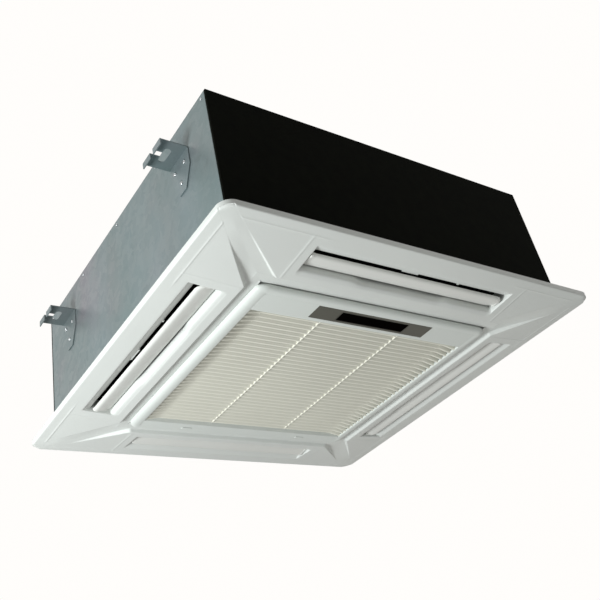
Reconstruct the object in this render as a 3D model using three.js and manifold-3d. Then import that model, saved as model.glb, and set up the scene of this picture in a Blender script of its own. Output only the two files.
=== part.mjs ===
// Ceiling cassette air conditioner: casing, square coil, turbo fan, drain set and louvred panel.
// Millimetres, +Z up. The origin is the centre of the four suspension slots, on the underside of
// the hangers, where the washers of the ceiling rods bear. Heights in this file are measured from
// the ceiling face, and the whole unit is lowered to that origin at the end.
// The front is the display side (-Y); the left side (-X) is bare galvanised steel.

import * as THREE from 'three';
import { mergeVertices } from 'three/addons/utils/BufferGeometryUtils.js';
import Module from 'manifold-3d';

const wasm = await Module();
wasm.setup();

// ---------------------------------------------------------------- driving dimensions

const gap = 0.3;                      // clearance between pieces that touch, seat or slide

// Casing
const bodyWidth = 866;                // over the left and right walls
const bodyDepth = 840;                // over the front and rear foam
const bodyHeight = 300;
const bodyBase = 24;                  // casing's lower face above the ceiling face
const sheet = 1;                      // side and top steel
const sheetReturn = 15;               // flanges folded in at the corners
const lidReturn = 12;                 // top plate's turned-down edge
const baseSheet = 1.5;                // base frame steel
const foamSkin = 5;                   // black foam on the front and rear walls
const baseOpeningWidth = 550;         // square return opening in the base frame
const linerWall = 22;                 // polystyrene lining
const linerTop = 25;

// Hangers
const hangerHeight = 250;             // bearing plane of the rods above the ceiling face
const hangerPitch = 590;              // between the two hangers of one side
const hangerWidth = 76;
const hangerReach = 60;
const hangerSheet = 2;
const hangerDrop = 86;                // shield-shaped leg on the wall
const hangerShoulder = 42;            // leg keeps its full width down to here
const hangerToe = 26;                 // leg's width at its lower end
const rodSlotLength = 38;
const rodSlotWidth = 14;
const rodSlotOffset = 32;             // rod centre from the wall
const rodThroat = 12;                 // gap that lets the rod in from the side
const hangerLip = 12;

// Air ways through base frame, pan and gasket
const ductInner = 348;                // from the centre line to the outlet duct
const ductLength = 516;

// Coil
const coilWidth = 668;
const coilDepth = 40;
const coilCorner = 90;
const coilHeight = 238;
const coilEndCut = 248;               // both coil legs end this far from the centre line
const endPlateSheet = 1.5;
const endPlateMargin = 3;
const gasPipeRadius = 8;
const liquidPipeRadius = 4.8;
const pipeWall = 1.2;
const pipeReach = 50;                 // pipe ends beyond the casing wall
const pipeExitHeight = 110;
const gasPipeY = 335;
const liquidPipeY = 296;
const gasPortHeight = 190;            // where each pipe leaves the coil
const gasBendDrop = 12;
const gasFallDrop = 40;
const gasSwanDrop = 10;
const liquidPortHeight = 130;
const liquidBendDrop = 8;
const flareNutLength = 18;
const pipeWindowLength = 104;         // opening in the right wall, under the pipe cover
const pipeWindowHeight = 56;
const pipeCoverMargin = 10;

// Drain pan and drain set
const panHeight = 50;
const panBore = 410;
const troughMargin = 4;               // trough is wider than the coil on both faces
const troughDepth = 26;
const sumpDepth = 36;
const sumpLength = 72;
const sumpMargin = 3;                 // room beside the pump
const pumpX = -366;
const pumpY = 344;
const pumpRadius = 22;
const pumpInletRadius = 14;
const pumpInletLength = 18;
const pumpTop = 130;
const pumpOutletRadius = 8;
const pumpOutletLength = 16;
const pumpPlate = 2;
const hoseRadius = 12;
const hoseWall = 2.5;
const drainHeight = 222;
const spigotReach = 46;
const spigotFlange = 22;
const floatX = -335;
const floatY = 366;
const floatRadius = 12;
const floatHeight = 16;
const floatTravel = 10;
const stemRadius = 3;
const stemCollar = 6;

// Fan and motor
const wheelRadius = 230;
const wheelBottom = 90;
const wheelTop = 262;
const wheelWall = 3;
const shroudRise = 36;
const throatRadius = 178;
const throatTop = 98;
const mouthRadius = 200;
const mouthWall = 2.5;
const mouthPlateWidth = 562;
const bladeCount = 7;
const bladeThickness = 5;
const bladeLeadRadius = 120;          // inner edge of a blade
const bladeBendRadius = 176;          // where it bends back
const bladeInset = 5;                 // outer edge, in from the wheel's rim
const bladeSweep = 34;                // how far the inner edge lags
const bladeBend = 2;
const bladeTwist = 18;
const hubRadius = 18;
const hubBottom = 150;
const hubTop = 178;
const shaftRadius = 6;
const shaftBottom = 134;
const shaftTop = 272;
const nutHeight = 10;
const nutRadius = 10;
const motorRadius = 65;
const motorBottom = 245;
const motorPlateRadius = 95;
const motorPlateSheet = 2;
const damperRadius = 11;
const damperHeight = 8;
const damperCircle = 82;
const damperCount = 3;

// Controls
const boxLength = 300;
const boxNear = 226;                  // box's inner side, from the centre line
const boxWidth = 46;
const boxBottom = -2;
const boxTop = 48;
const boxWall = 1.2;
const boxLip = 15;
const boardSheet = 1.6;
const boardStandoff = 7;
const solderDepth = 0.5;
const transformerX = -120;
const transformerLength = 36;
const transformerHeight = 28;
const terminalX = 80;
const terminalLength = 58;
const terminalWidth = 18;
const terminalHeight = 14;
const capacitorX = -50;
const capacitorRadius = 10;
const capacitorHeight = 24;
const relayCount = 3;
const relayX = -20;
const relayPitch = 28;
const relayLength = 20;
const relayHeight = 16;
const glandX = 300;
const glandZ = 100;
const glandRadius = 9;
const glandBore = 5;

// Panel
const panelWidth = 950;
const rimDrop = 12;
const rimRound = 3;
const panelCorner = 28;
const openingWidth = 600;
const openingDrop = 26;
const openingBevel = 8;
const openingBevelRise = 7;
const shell = 3;
const footWidth = 12;                 // thicker edge round the opening
const footHeight = 8.5;
const ledgeWidth = 17;
const ledgeSheet = 3;
const gasketHeight = 10;
const screwInset = 10;                // panel screws, in from the opening's corners
const screwHole = 3;

// Outlet slots
const slotLength = 516;
const slotOuter = 430;
const slotInner = 348;
const throatOuter = 409;
const throatInner = 358;
const throatOuterDrop = 6;
const throatInnerDrop = 8;

// Louvres and their drive
const axisOffset = 384;               // louvre axes, from the centre line
const axisDrop = 3;
const louvreChord = 42;
const louvreSag = 4;
const louvreThick = 2.2;
const louvreEdge = 1;
const louvreArm = 9;                  // axis above the louvre's edges
const louvreEndGap = 4;
const armThick = 3;
const armWidth = 16;
const stubRadius = 4;
const stubLength = 14;
const sleeveWall = 3;
const sleeveDepth = 6;
const gearTeeth = 10;
const gearPitchRadius = 9;
const gearAddendum = 1.3;
const gearDedendum = 1.9;
const gearFace = 2.8;
const gearHubLength = 5;
const gearHubRadius = 6;
const toothFlankSlope = 0.36;         // tangent of the pressure angle
const toothBacklash = 0.35;
const driveShaftRadius = 3.5;
const postThick = 6;
const postWidth = 16;
const postFromApex = 36;
const louvreMotorRadius = 10;
const louvreMotorLength = 19;
const louvreMotorShaft = 2;
const motorPostGap = 2;               // between the stub's end and the motor's post

// Return grille
const grilleGap = 4;                  // between the grille and the opening's edge
const grilleDrop = 27;
const grilleHeight = 15;
const grilleBevel = 6;
const grilleBevelRise = 7;
const grilleSkin = 2;
const grilleWall = 3;
const filterSeat = 17;                // ledge beside the slats that the filter lies on
const grilleFloor = 3;
const fieldHalfX = 281;               // slatted field at the grille's face
const fieldFloorHalfX = 245;          // and at its floor
const fieldFront = -226;
const fieldRear = 260;
const fieldDraft = 5;
const fieldFloorDrop = 17;
const slatCount = 32;
const slatGap = 8;
const dividerX = 105;
const dividerWidth = 6;
const hingeInset = 6;                 // hinge axis from the grille's edge
const hingeDrop = 20;
const hingeX = 200;
const hingeNotch = 18;
const hingeBlock = 32;
const hingePinRadius = 1.6;
const hingeHookRadius = 4;
const hingeHookWidth = 14;
const hookArmHeight = 5;
const filterThick = 3;
const filterFrame = 10;
const filterNet = 0.8;
const filterRibs = 4;

// Slide latches
const latchX = 164;
const latchPlateWidth = 32;
const latchPlateLength = 18;
const latchPlateThick = 4;
const latchButtonWidth = 24;
const latchButtonLength = 7;
const latchTongueWidth = 20;
const latchTongueThick = 3;
const latchTravel = 6;
const latchEngage = 4.5;              // tongue's reach behind the opening's edge when locked
const latchProud = 0.8;
const grooveMargin = 3;               // room round the tongues in the edge's groove

// Display
const displayLength = 304;
const displayWidth = 42;
const displayY = -257;
const displayFlange = 4;
const displayThick = 2.6;
const windowLength = 176;
const windowWidth = 27;
const windowThick = 1.8;

// ---------------------------------------------------------------- derived places

const quarterTurn = Math.PI / 2;
const bodyHalfX = bodyWidth / 2;
const bodyHalfY = bodyDepth / 2;
const bodyTop = bodyBase + bodyHeight;
const wallBottom = bodyBase + baseSheet + gap;
const wallTop = bodyTop - sheet - gap;
const wallYOuter = bodyHalfY - foamSkin;             // outside of the front and rear steel
const wallYInner = wallYOuter - sheet;
const linerHalfX = bodyHalfX - sheet - gap;
const linerHalfY = wallYInner - sheet - 2 * gap;
const linerInnerX = linerHalfX - linerWall;
const linerInnerY = linerHalfY - linerWall;
const panHalfX = linerInnerX - gap;
const panHalfY = linerInnerY - gap;
const panTop = wallBottom + panHeight;
const troughFloor = panTop - troughDepth;
const sumpFloor = panTop - sumpDepth;
const coilHalf = coilWidth / 2;
const coilBottom = troughFloor + gap;
const coilTop = coilBottom + coilHeight;
const mouthPlateTop = bodyBase - gap;
const mouthPlateBottom = mouthPlateTop - mouthWall;
const panelTop = bodyBase - gasketHeight - 2 * gap;
const panelHalf = panelWidth / 2;
const openingHalf = openingWidth / 2;
const slotHalf = slotLength / 2;
const louvreHalf = slotHalf - louvreEndGap;
const stubEnd = louvreHalf + stubLength;
const motorPlateTop = bodyTop - sheet - gap - damperHeight - gap;
const motorTop = motorPlateTop - motorPlateSheet - gap;
const grilleHalf = openingHalf - grilleGap;
const grilleTop = grilleHeight - grilleDrop;
const hingeY = hingeInset - grilleHalf;
const rodX = bodyHalfX + rodSlotOffset;

// Height of the panel's underside at a distance from the centre line.
function undersideAt(distance) {
  const slope = (openingDrop - rimDrop) / (panelHalf - rimRound - openingHalf);
  return -rimDrop - (panelHalf - rimRound - distance) * slope;
}

// ---------------------------------------------------------------- shape helpers

function signedVolume(positions, triangles) {
  const a = new THREE.Vector3();
  const b = new THREE.Vector3();
  const c = new THREE.Vector3();
  let volume = 0;
  for (let i = 0; i < triangles.length; i += 3) {
    a.fromArray(positions, triangles[i] * 3);
    b.fromArray(positions, triangles[i + 1] * 3);
    c.fromArray(positions, triangles[i + 2] * 3);
    volume += a.dot(b.cross(c)) / 6;
  }
  return volume;
}

// Closed solid of a geometry: shared corners merged, slivers at a lathe's poles left out, and the
// faces turned outwards whichever way round the outline was drawn.
function solid(geometry) {
  const bare = geometry.clone();
  bare.deleteAttribute('normal');
  bare.deleteAttribute('uv');
  const merged = mergeVertices(bare, 1e-4);
  const positions = merged.attributes.position.array;
  const index = merged.index.array;
  const kept = [];
  for (let i = 0; i < index.length; i += 3) {
    const [a, b, c] = [index[i], index[i + 1], index[i + 2]];
    if (a !== b && b !== c && c !== a) {
      kept.push(a, b, c);
    }
  }
  if (signedVolume(positions, kept) < 0) {
    kept.reverse();
  }
  return new wasm.Manifold(new wasm.Mesh({
    numProp: 3,
    vertProperties: new Float32Array(positions),
    triVerts: new Uint32Array(kept),
  }));
}

function geometryOf(shape) {
  const mesh = shape.getMesh();
  const geometry = new THREE.BufferGeometry();
  geometry.setAttribute('position', new THREE.BufferAttribute(new Float32Array(mesh.vertProperties), 3));
  geometry.setIndex(new THREE.BufferAttribute(new Uint32Array(mesh.triVerts), 1));
  geometry.computeVertexNormals();
  return geometry;
}

function join(first, ...others) {
  return others.reduce((sum, shape) => sum.add(shape), first);
}

function cut(first, ...others) {
  return others.reduce((rest, shape) => rest.subtract(shape), first);
}

function transformed(shape, matrix) {
  return solid(geometryOf(shape).applyMatrix4(matrix));
}

function turned(shape, quarters) {
  return transformed(shape, new THREE.Matrix4().makeRotationZ(quarters * quarterTurn));
}

function block(x0, x1, y0, y1, z0, z1) {
  const geometry = new THREE.BoxGeometry(x1 - x0, y1 - y0, z1 - z0);
  geometry.translate((x0 + x1) / 2, (y0 + y1) / 2, (z0 + z1) / 2);
  return solid(geometry);
}

function outline(points) {
  return new THREE.Shape(points.map(([x, y]) => new THREE.Vector2(x, y)));
}

// Straight extrusions of an outline, drawn as (x, y), (y, z) or (x, z).
function prismZ(points, z0, z1) {
  const geometry = new THREE.ExtrudeGeometry(outline(points), { depth: z1 - z0, bevelEnabled: false });
  geometry.translate(0, 0, z0);
  return solid(geometry);
}

function prismX(points, x0, x1) {
  const geometry = new THREE.ExtrudeGeometry(outline(points), { depth: x1 - x0, bevelEnabled: false });
  const toX = new THREE.Matrix4().makeBasis(
    new THREE.Vector3(0, 1, 0), new THREE.Vector3(0, 0, 1), new THREE.Vector3(1, 0, 0));
  geometry.applyMatrix4(toX.setPosition(x0, 0, 0));
  return solid(geometry);
}

function prismY(points, y0, y1) {
  const geometry = new THREE.ExtrudeGeometry(outline(points), { depth: y1 - y0, bevelEnabled: false });
  const toY = new THREE.Matrix4().makeBasis(
    new THREE.Vector3(1, 0, 0), new THREE.Vector3(0, 0, 1), new THREE.Vector3(0, -1, 0));
  geometry.applyMatrix4(toY.setPosition(0, y1, 0));
  return solid(geometry);
}

function rodZ(radius, x, y, z0, z1, sides = 24) {
  const geometry = new THREE.CylinderGeometry(radius, radius, z1 - z0, sides);
  geometry.rotateX(quarterTurn);
  geometry.translate(x, y, (z0 + z1) / 2);
  return solid(geometry);
}

function layX(radius, y, z, x0, x1, sides = 12) {
  const geometry = new THREE.CylinderGeometry(radius, radius, x1 - x0, sides);
  geometry.rotateZ(quarterTurn);
  geometry.translate((x0 + x1) / 2, y, z);
  return solid(geometry);
}

function rodY(radius, x, z, y0, y1, sides = 16) {
  const geometry = new THREE.CylinderGeometry(radius, radius, y1 - y0, sides);
  geometry.translate(x, (y0 + y1) / 2, z);
  return solid(geometry);
}

// Solid of revolution about the Z axis through (x, y), from a profile of (radius, height).
function latheZ(profile, sides, x = 0, y = 0) {
  const points = profile.map(([radius, height]) => new THREE.Vector2(radius, height));
  const geometry = new THREE.LatheGeometry(points, sides);
  geometry.rotateX(quarterTurn);
  geometry.translate(x, y, 0);
  return solid(geometry);
}

// The same about the X axis, from a profile of (radius, distance along X).
function latheX(profile, sides, y, z) {
  const points = profile.map(([radius, along]) => new THREE.Vector2(radius, along));
  const geometry = new THREE.LatheGeometry(points, sides);
  geometry.rotateZ(-quarterTurn);
  geometry.translate(0, y, z);
  return solid(geometry);
}

function closedProfile(points) {
  return [...points, points[0]];
}

// Solid through a stack of rings, each star-shaped about its middle.
function loft(rings) {
  const positions = [];
  const triangles = [];
  const sides = rings[0].length;
  rings.forEach((ring) => ring.forEach((point) => positions.push(...point)));
  for (let level = 0; level + 1 < rings.length; level += 1) {
    for (let i = 0; i < sides; i += 1) {
      const a = level * sides + i;
      const b = level * sides + (i + 1) % sides;
      triangles.push(a, b, b + sides, a, b + sides, a + sides);
    }
  }
  [0, rings.length - 1].forEach((level) => {
    const middle = [0, 1, 2].map((k) => rings[level].reduce((sum, point) => sum + point[k], 0) / sides);
    const centre = positions.push(...middle) / 3 - 1;
    for (let i = 0; i < sides; i += 1) {
      const a = level * sides + i;
      const b = level * sides + (i + 1) % sides;
      triangles.push(...(level === 0 ? [centre, b, a] : [centre, a, b]));
    }
  });
  const geometry = new THREE.BufferGeometry();
  geometry.setAttribute('position', new THREE.Float32BufferAttribute(positions, 3));
  geometry.setIndex(triangles);
  return solid(geometry);
}

// Ring of a rectangle with round corners, at one height.
function roundedRing(x0, x1, y0, y1, radius, z, steps = 3) {
  const corners = [[x1 - radius, y1 - radius], [x0 + radius, y1 - radius],
    [x0 + radius, y0 + radius], [x1 - radius, y0 + radius]];
  return corners.flatMap(([cx, cy], corner) => Array.from({ length: steps + 1 }, (_, i) => {
    const angle = (corner + i / steps) * quarterTurn;
    return [cx + radius * Math.cos(angle), cy + radius * Math.sin(angle), z];
  }));
}

function squareRing(half, radius, z, steps = 3) {
  return roundedRing(-half, half, -half, half, radius, z, steps);
}

function squareColumn(half, radius, z0, z1, steps = 3) {
  return loft([squareRing(half, radius, z0, steps), squareRing(half, radius, z1, steps)]);
}

// Tube along a smooth path; a wall of zero leaves it solid.
function tube(points, radius, wall, steps, sides = 10) {
  const section = new THREE.Shape();
  section.absarc(0, 0, radius, 0, 2 * Math.PI);
  if (wall > 0) {
    const bore = new THREE.Path();
    bore.absarc(0, 0, radius - wall, 0, 2 * Math.PI, true);
    section.holes.push(bore);
  }
  const path = new THREE.CatmullRomCurve3(points.map((point) => new THREE.Vector3(...point)), false, 'centripetal');
  const curveSegments = sides / 2;
  return solid(new THREE.ExtrudeGeometry(section, { steps, curveSegments, extrudePath: path }));
}

// ---------------------------------------------------------------- materials

function finish(colour, roughness, metalness) {
  return () => new THREE.MeshStandardMaterial({ color: colour, roughness, metalness });
}

const galvanised = finish(0x8f9c9d, 0.45, 0.85);
const blackFoam = finish(0x0b0c08, 0.95, 0);
const polystyrene = finish(0xe9ebe8, 0.9, 0);
const whitePlastic = finish(0xdfe2dc, 0.45, 0);
const greyPlastic = finish(0x8c8f8c, 0.55, 0);
const blackPlastic = finish(0x17181a, 0.5, 0);
const bezelPlastic = finish(0x525349, 0.5, 0);
const windowPlastic = finish(0x060607, 0.15, 0);
const finBlue = finish(0xb9c4c8, 0.35, 0.9);
const copper = finish(0xb0663c, 0.35, 0.95);
const brass = finish(0xb79a4a, 0.35, 0.95);
const rubber = finish(0x1c1c1d, 0.85, 0);
const steel = finish(0xa9adaf, 0.3, 0.95);
const motorPaint = finish(0x35393c, 0.5, 0.4);
const boardGreen = finish(0x2c6a42, 0.5, 0);
const filterGrey = finish(0x5b6064, 0.8, 0);

function piece(name, shape, material) {
  const mesh = new THREE.Mesh(geometryOf(shape), material());
  mesh.name = name;
  return mesh;
}

// ---------------------------------------------------------------- casing

function topPlate() {
  const plate = block(-bodyHalfX, bodyHalfX, -wallYOuter, wallYOuter, bodyTop - sheet, bodyTop);
  const rimX = linerHalfX;
  const rimLength = bodyHalfY - 2 * sheetReturn;
  const lip = block(rimX - sheet, rimX, -rimLength, rimLength, wallTop - lidReturn, bodyTop - sheet);
  return join(plate, lip, turned(lip, 2));
}

// Left and right walls: flat sheet with a flange folded in at each end.
function sideWall() {
  const flange = wallYInner - gap;
  const outer = -bodyHalfX;
  return prismZ([
    [outer, -flange], [outer + sheetReturn, -flange], [outer + sheetReturn, sheet - flange],
    [outer + sheet, sheet - flange], [outer + sheet, flange - sheet],
    [outer + sheetReturn, flange - sheet], [outer + sheetReturn, flange], [outer, flange],
  ], wallBottom, wallTop);
}

function pipeWindow(x0, x1) {
  const middle = (gasPipeY + liquidPipeY) / 2;
  return block(x0, x1, middle - pipeWindowLength / 2, middle + pipeWindowLength / 2,
    pipeExitHeight - pipeWindowHeight / 2, pipeExitHeight + pipeWindowHeight / 2);
}

function rearHoles(y0, y1, clearance) {
  return [
    rodY(hoseRadius + clearance, pumpX, drainHeight, y0, y1),
    rodY(glandRadius + clearance, glandX, glandZ, y0, y1),
  ];
}

function endWall(side) {
  const inner = side * wallYInner;
  const outer = side * wallYOuter;
  const wall = block(-bodyHalfX, bodyHalfX, Math.min(inner, outer), Math.max(inner, outer),
    wallBottom, wallTop);
  return side > 0 ? cut(wall, ...rearHoles(wallYInner - 1, wallYOuter + 1, gap)) : wall;
}

function foamSheet(side) {
  const near = side * (wallYOuter + gap);
  const far = side * bodyHalfY;
  const foam = block(-bodyHalfX, bodyHalfX, Math.min(near, far), Math.max(near, far), wallBottom, bodyTop);
  return side > 0 ? cut(foam, ...rearHoles(wallYOuter - 1, bodyHalfY + 1, gap)) : foam;
}

function ductHole(z0, z1, outer) {
  return block(-ductLength / 2, ductLength / 2, -outer, -ductInner, z0, z1);
}

function baseFrame() {
  const top = bodyBase + baseSheet;
  const plate = block(-bodyHalfX, bodyHalfX, -bodyHalfY, bodyHalfY, bodyBase, top);
  const opening = squareColumn(baseOpeningWidth / 2, 10, bodyBase - 1, top + 1, 3);
  const duct = ductHole(bodyBase - 1, top + 1, linerInnerY);
  const ducts = [0, 1, 2, 3].map((quarters) => turned(duct, quarters));
  const screws = screwCorners().map(([x, y]) => rodZ(screwHole, x, y, bodyBase - 1, top + 1, 12));
  return cut(plate, opening, ...ducts, ...screws);
}

function liner() {
  const shellBlock = block(-linerHalfX, linerHalfX, -linerHalfY, linerHalfY, wallBottom, wallTop);
  const cavity = block(-linerInnerX, linerInnerX, -linerInnerY, linerInnerY,
    wallBottom - 1, wallTop - linerTop);
  const motorHole = rodZ(motorPlateRadius + 10, 0, 0, wallTop - linerTop - 1, wallTop + 1, 28);
  const lidNotch = block(linerHalfX - sheet - gap, linerHalfX + 1, -bodyHalfY, bodyHalfY,
    wallTop - lidReturn - gap, wallTop + 1);
  return cut(shellBlock, cavity, motorHole, lidNotch, turned(lidNotch, 2),
    pipeWindow(linerInnerX - 1, linerHalfX + 1), ...rearHoles(linerInnerY - 1, linerHalfY + 1, 2 * gap));
}

// Hanger on the left wall at y = 0: shield-shaped leg, ledge with the rod's slot, folded lips.
function hanger() {
  const wall = -bodyHalfX - gap;
  const half = hangerWidth / 2;
  const toe = hangerToe / 2;
  const ledgeTop = hangerHeight + hangerSheet;
  const leg = prismX([
    [-half, ledgeTop], [-half, ledgeTop - hangerShoulder], [-toe, ledgeTop - hangerDrop],
    [toe, ledgeTop - hangerDrop], [half, ledgeTop - hangerShoulder], [half, ledgeTop],
  ], wall - hangerSheet, wall);
  const tip = -bodyHalfX - hangerReach;
  const ledge = block(tip, wall, -half, half, hangerHeight, ledgeTop);
  const lip = block(tip, tip + hangerSheet, -half, half, hangerHeight - hangerLip, hangerHeight + 0.5);
  const slotEnds = (rodSlotLength - rodSlotWidth) / 2;
  const slotRing = (z) => roundedRing(-rodX - rodSlotWidth / 2, -rodX + rodSlotWidth / 2,
    -slotEnds - rodSlotWidth / 2, slotEnds + rodSlotWidth / 2, rodSlotWidth / 2 - 0.5, z, 4);
  const slot = loft([slotRing(hangerHeight - 1), slotRing(ledgeTop + 1)]);
  const throat = block(tip - 1, -rodX, -rodThroat / 2, rodThroat / 2,
    hangerHeight - hangerLip - 1, ledgeTop + 1);
  return cut(join(leg, ledge, lip), slot, throat);
}

function pipeCover() {
  const middle = (gasPipeY + liquidPipeY) / 2;
  const halfY = pipeWindowLength / 2 + pipeCoverMargin;
  const halfZ = pipeWindowHeight / 2 + pipeCoverMargin;
  const near = bodyHalfX + gap;
  const far = near + sheet;
  const plate = block(near, far, middle - halfY, middle + halfY,
    pipeExitHeight - halfZ, pipeExitHeight + halfZ);
  return cut(plate,
    layX(gasPipeRadius + gap, gasPipeY, pipeExitHeight, near - 1, far + 1),
    layX(liquidPipeRadius + gap, liquidPipeY, pipeExitHeight, near - 1, far + 1));
}

function cableGland() {
  const outside = bodyHalfY + gap;
  const profile = closedProfile([
    [glandBore, outside - 14], [glandRadius, outside - 14], [glandRadius, outside],
    [glandRadius + 5, outside], [glandRadius + 5, outside + 6], [glandRadius + 1, outside + 7],
    [glandRadius + 1, outside + 15], [glandBore, outside + 15],
  ]);
  const standing = latheZ(profile, 12);
  const lay = new THREE.Matrix4().makeRotationX(-quarterTurn);
  return transformed(standing, lay.setPosition(glandX, 0, glandZ));
}

// ---------------------------------------------------------------- coil and pipes

function coil() {
  const inner = coilHalf - coilDepth;
  const outerRing = squareColumn(coilHalf, coilCorner, coilBottom, coilTop, 6);
  const innerRing = squareColumn(inner, coilCorner - coilDepth, coilBottom - 1, coilTop + 1, 6);
  const openCorner = block(coilEndCut, coilHalf + 1, coilEndCut, coilHalf + 1, coilBottom - 1, coilTop + 1);
  return cut(outerRing, innerRing, openCorner);
}

function coilEndPlate() {
  const near = coilEndCut + gap;
  return block(near, near + endPlateSheet, coilHalf - coilDepth - endPlateMargin,
    coilHalf + endPlateMargin, coilBottom, coilTop + endPlateMargin);
}

function mirroredOnDiagonal(shape) {
  const swap = new THREE.Matrix4().makeBasis(
    new THREE.Vector3(0, 1, 0), new THREE.Vector3(1, 0, 0), new THREE.Vector3(0, 0, 1));
  return transformed(shape, swap);
}

function gasPipe() {
  const start = coilEndCut + endPlateSheet + 2 * gap;
  const y = coilHalf - coilDepth / 2;
  return tube([
    [start, y, gasPortHeight], [start + 25, y, gasPortHeight],
    [start + 52, y + 4, gasPortHeight - gasBendDrop], [start + 66, y + 12, gasPortHeight - gasFallDrop],
    [start + 80, gasPipeY, pipeExitHeight + gasSwanDrop],
    [start + 105, gasPipeY, pipeExitHeight],
    [bodyHalfX, gasPipeY, pipeExitHeight], [bodyHalfX + pipeReach, gasPipeY, pipeExitHeight],
  ], gasPipeRadius, pipeWall, 18, 8);
}

function liquidPipe() {
  const start = coilEndCut + endPlateSheet + 2 * gap;
  const x = coilHalf - coilDepth / 2;
  return tube([
    [x, start, liquidPortHeight], [x, start + 18, liquidPortHeight],
    [x + 8, start + 36, liquidPortHeight - liquidBendDrop],
    [x + 26, liquidPipeY, pipeExitHeight + 2], [x + 50, liquidPipeY, pipeExitHeight],
    [bodyHalfX, liquidPipeY, pipeExitHeight], [bodyHalfX + pipeReach, liquidPipeY, pipeExitHeight],
  ], liquidPipeRadius, pipeWall, 16, 8);
}

function flareNut(pipeRadius, y) {
  const end = bodyHalfX + pipeReach - 2;
  const body = latheX(closedProfile([
    [pipeRadius + gap, end - flareNutLength], [pipeRadius + 4, end - flareNutLength],
    [pipeRadius + 5.5, end - flareNutLength * 0.6], [pipeRadius + 5.5, end], [pipeRadius + gap, end],
  ]), 6, y, pipeExitHeight);
  return cut(body, layX(pipeRadius + gap, y, pipeExitHeight, end - flareNutLength - 1, end + 1));
}

// ---------------------------------------------------------------- drain pan and drain set

function drainPan() {
  const base = block(-panHalfX, panHalfX, -panHalfY, panHalfY, wallBottom, panTop);
  const bore = rodZ(panBore / 2, 0, 0, wallBottom - 1, panTop + 1, 36);
  const notch = block(-ductLength / 2, ductLength / 2, -bodyHalfX, -ductInner, wallBottom - 1, panTop + 1);
  const notches = [0, 1, 2, 3].map((quarters) => turned(notch, quarters));
  const trough = cut(
    squareColumn(coilHalf + troughMargin, coilCorner, troughFloor, panTop + 1, 6),
    squareColumn(coilHalf - coilDepth - troughMargin, coilCorner - coilDepth, troughFloor - 1, panTop + 2, 6));
  const sumpX = pumpX - pumpRadius - sumpMargin;
  const sumpY = panHalfY - 6;
  const sump = block(sumpX, sumpX + sumpLength, sumpY - sumpLength, sumpY, sumpFloor, panTop + 1);
  const boxRecess = block(-boxLength / 2 - 2, boxLength / 2 + 2, boxNear - 2,
    boxNear + boxWidth + 2, wallBottom - 1, boxTop + 2);
  const screws = screwCorners().map(([x, y]) => rodZ(screwHole, x, y, wallBottom - 1, wallBottom + 12, 12));
  return cut(base, bore, ...notches, trough, sump, boxRecess, ...screws);
}

function drainPump() {
  const foot = sumpFloor + gap;
  return latheZ([
    [0, foot], [pumpInletRadius, foot], [pumpInletRadius, foot + pumpInletLength],
    [pumpRadius, foot + pumpInletLength + 4], [pumpRadius, pumpTop], [pumpOutletRadius, pumpTop],
    [pumpOutletRadius, pumpTop + pumpOutletLength], [0, pumpTop + pumpOutletLength],
  ], 24, pumpX, pumpY);
}

// Plate that carries the pump and the float switch; its ears reach the lining.
function pumpBracket() {
  const z0 = pumpTop + gap;
  const plate = block(gap - linerInnerX, floatX + 15, pumpY - 20, linerInnerY - gap, z0, z0 + pumpPlate);
  return cut(plate, rodZ(pumpOutletRadius + gap, pumpX, pumpY, z0 - 1, z0 + pumpPlate + 1, 16));
}

function drainHose() {
  const start = pumpTop + pumpOutletLength + gap;
  const end = linerInnerY - gap;
  const bend = drainHeight - start;
  return tube([
    [pumpX, pumpY, start], [pumpX, pumpY, start + bend * 0.4], [pumpX, pumpY + 8, start + bend * 0.8],
    [pumpX, end - 18, drainHeight], [pumpX, end, drainHeight],
  ], hoseRadius, hoseWall, 12, 10);
}

function drainSpigot() {
  const outside = bodyHalfY + gap;
  const standing = latheZ(closedProfile([
    [hoseRadius - hoseWall, linerInnerY], [hoseRadius, linerInnerY], [hoseRadius, outside],
    [spigotFlange, outside], [spigotFlange, outside + 3], [hoseRadius + 0.5, outside + 3],
    [hoseRadius + 0.5, outside + spigotReach], [hoseRadius - hoseWall, outside + spigotReach],
  ]), 16);
  const lay = new THREE.Matrix4().makeRotationX(-quarterTurn);
  return transformed(standing, lay.setPosition(pumpX, 0, drainHeight));
}

function floatSwitch() {
  const foot = sumpFloor + gap + 4;
  const headBottom = pumpTop - 18;
  return latheZ([
    [0, foot], [stemCollar, foot], [stemCollar, foot + 3], [stemRadius, foot + 3],
    [stemRadius, headBottom], [floatRadius - 2, headBottom], [floatRadius - 2, pumpTop], [0, pumpTop],
  ], 20, floatX, floatY);
}

function floatRing() {
  const foot = sumpFloor + gap + 4 + 3 + gap;
  return latheZ(closedProfile([
    [stemRadius + gap, foot], [floatRadius, foot], [floatRadius, foot + floatHeight],
    [stemRadius + gap, foot + floatHeight],
  ]), 20, floatX, floatY);
}

// ---------------------------------------------------------------- fan

// Quarter-ellipse inlet, wide at the plate and upright at the throat.
function mouthCurve(offset, steps) {
  return Array.from({ length: steps + 1 }, (_, i) => {
    const angle = (i / steps) * quarterTurn;
    const flare = mouthRadius - throatRadius;
    const rise = throatTop - mouthPlateBottom;
    return [throatRadius + offset + flare * (1 - Math.sin(angle)),
      mouthPlateBottom + rise * (1 - Math.cos(angle))];
  });
}

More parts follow.
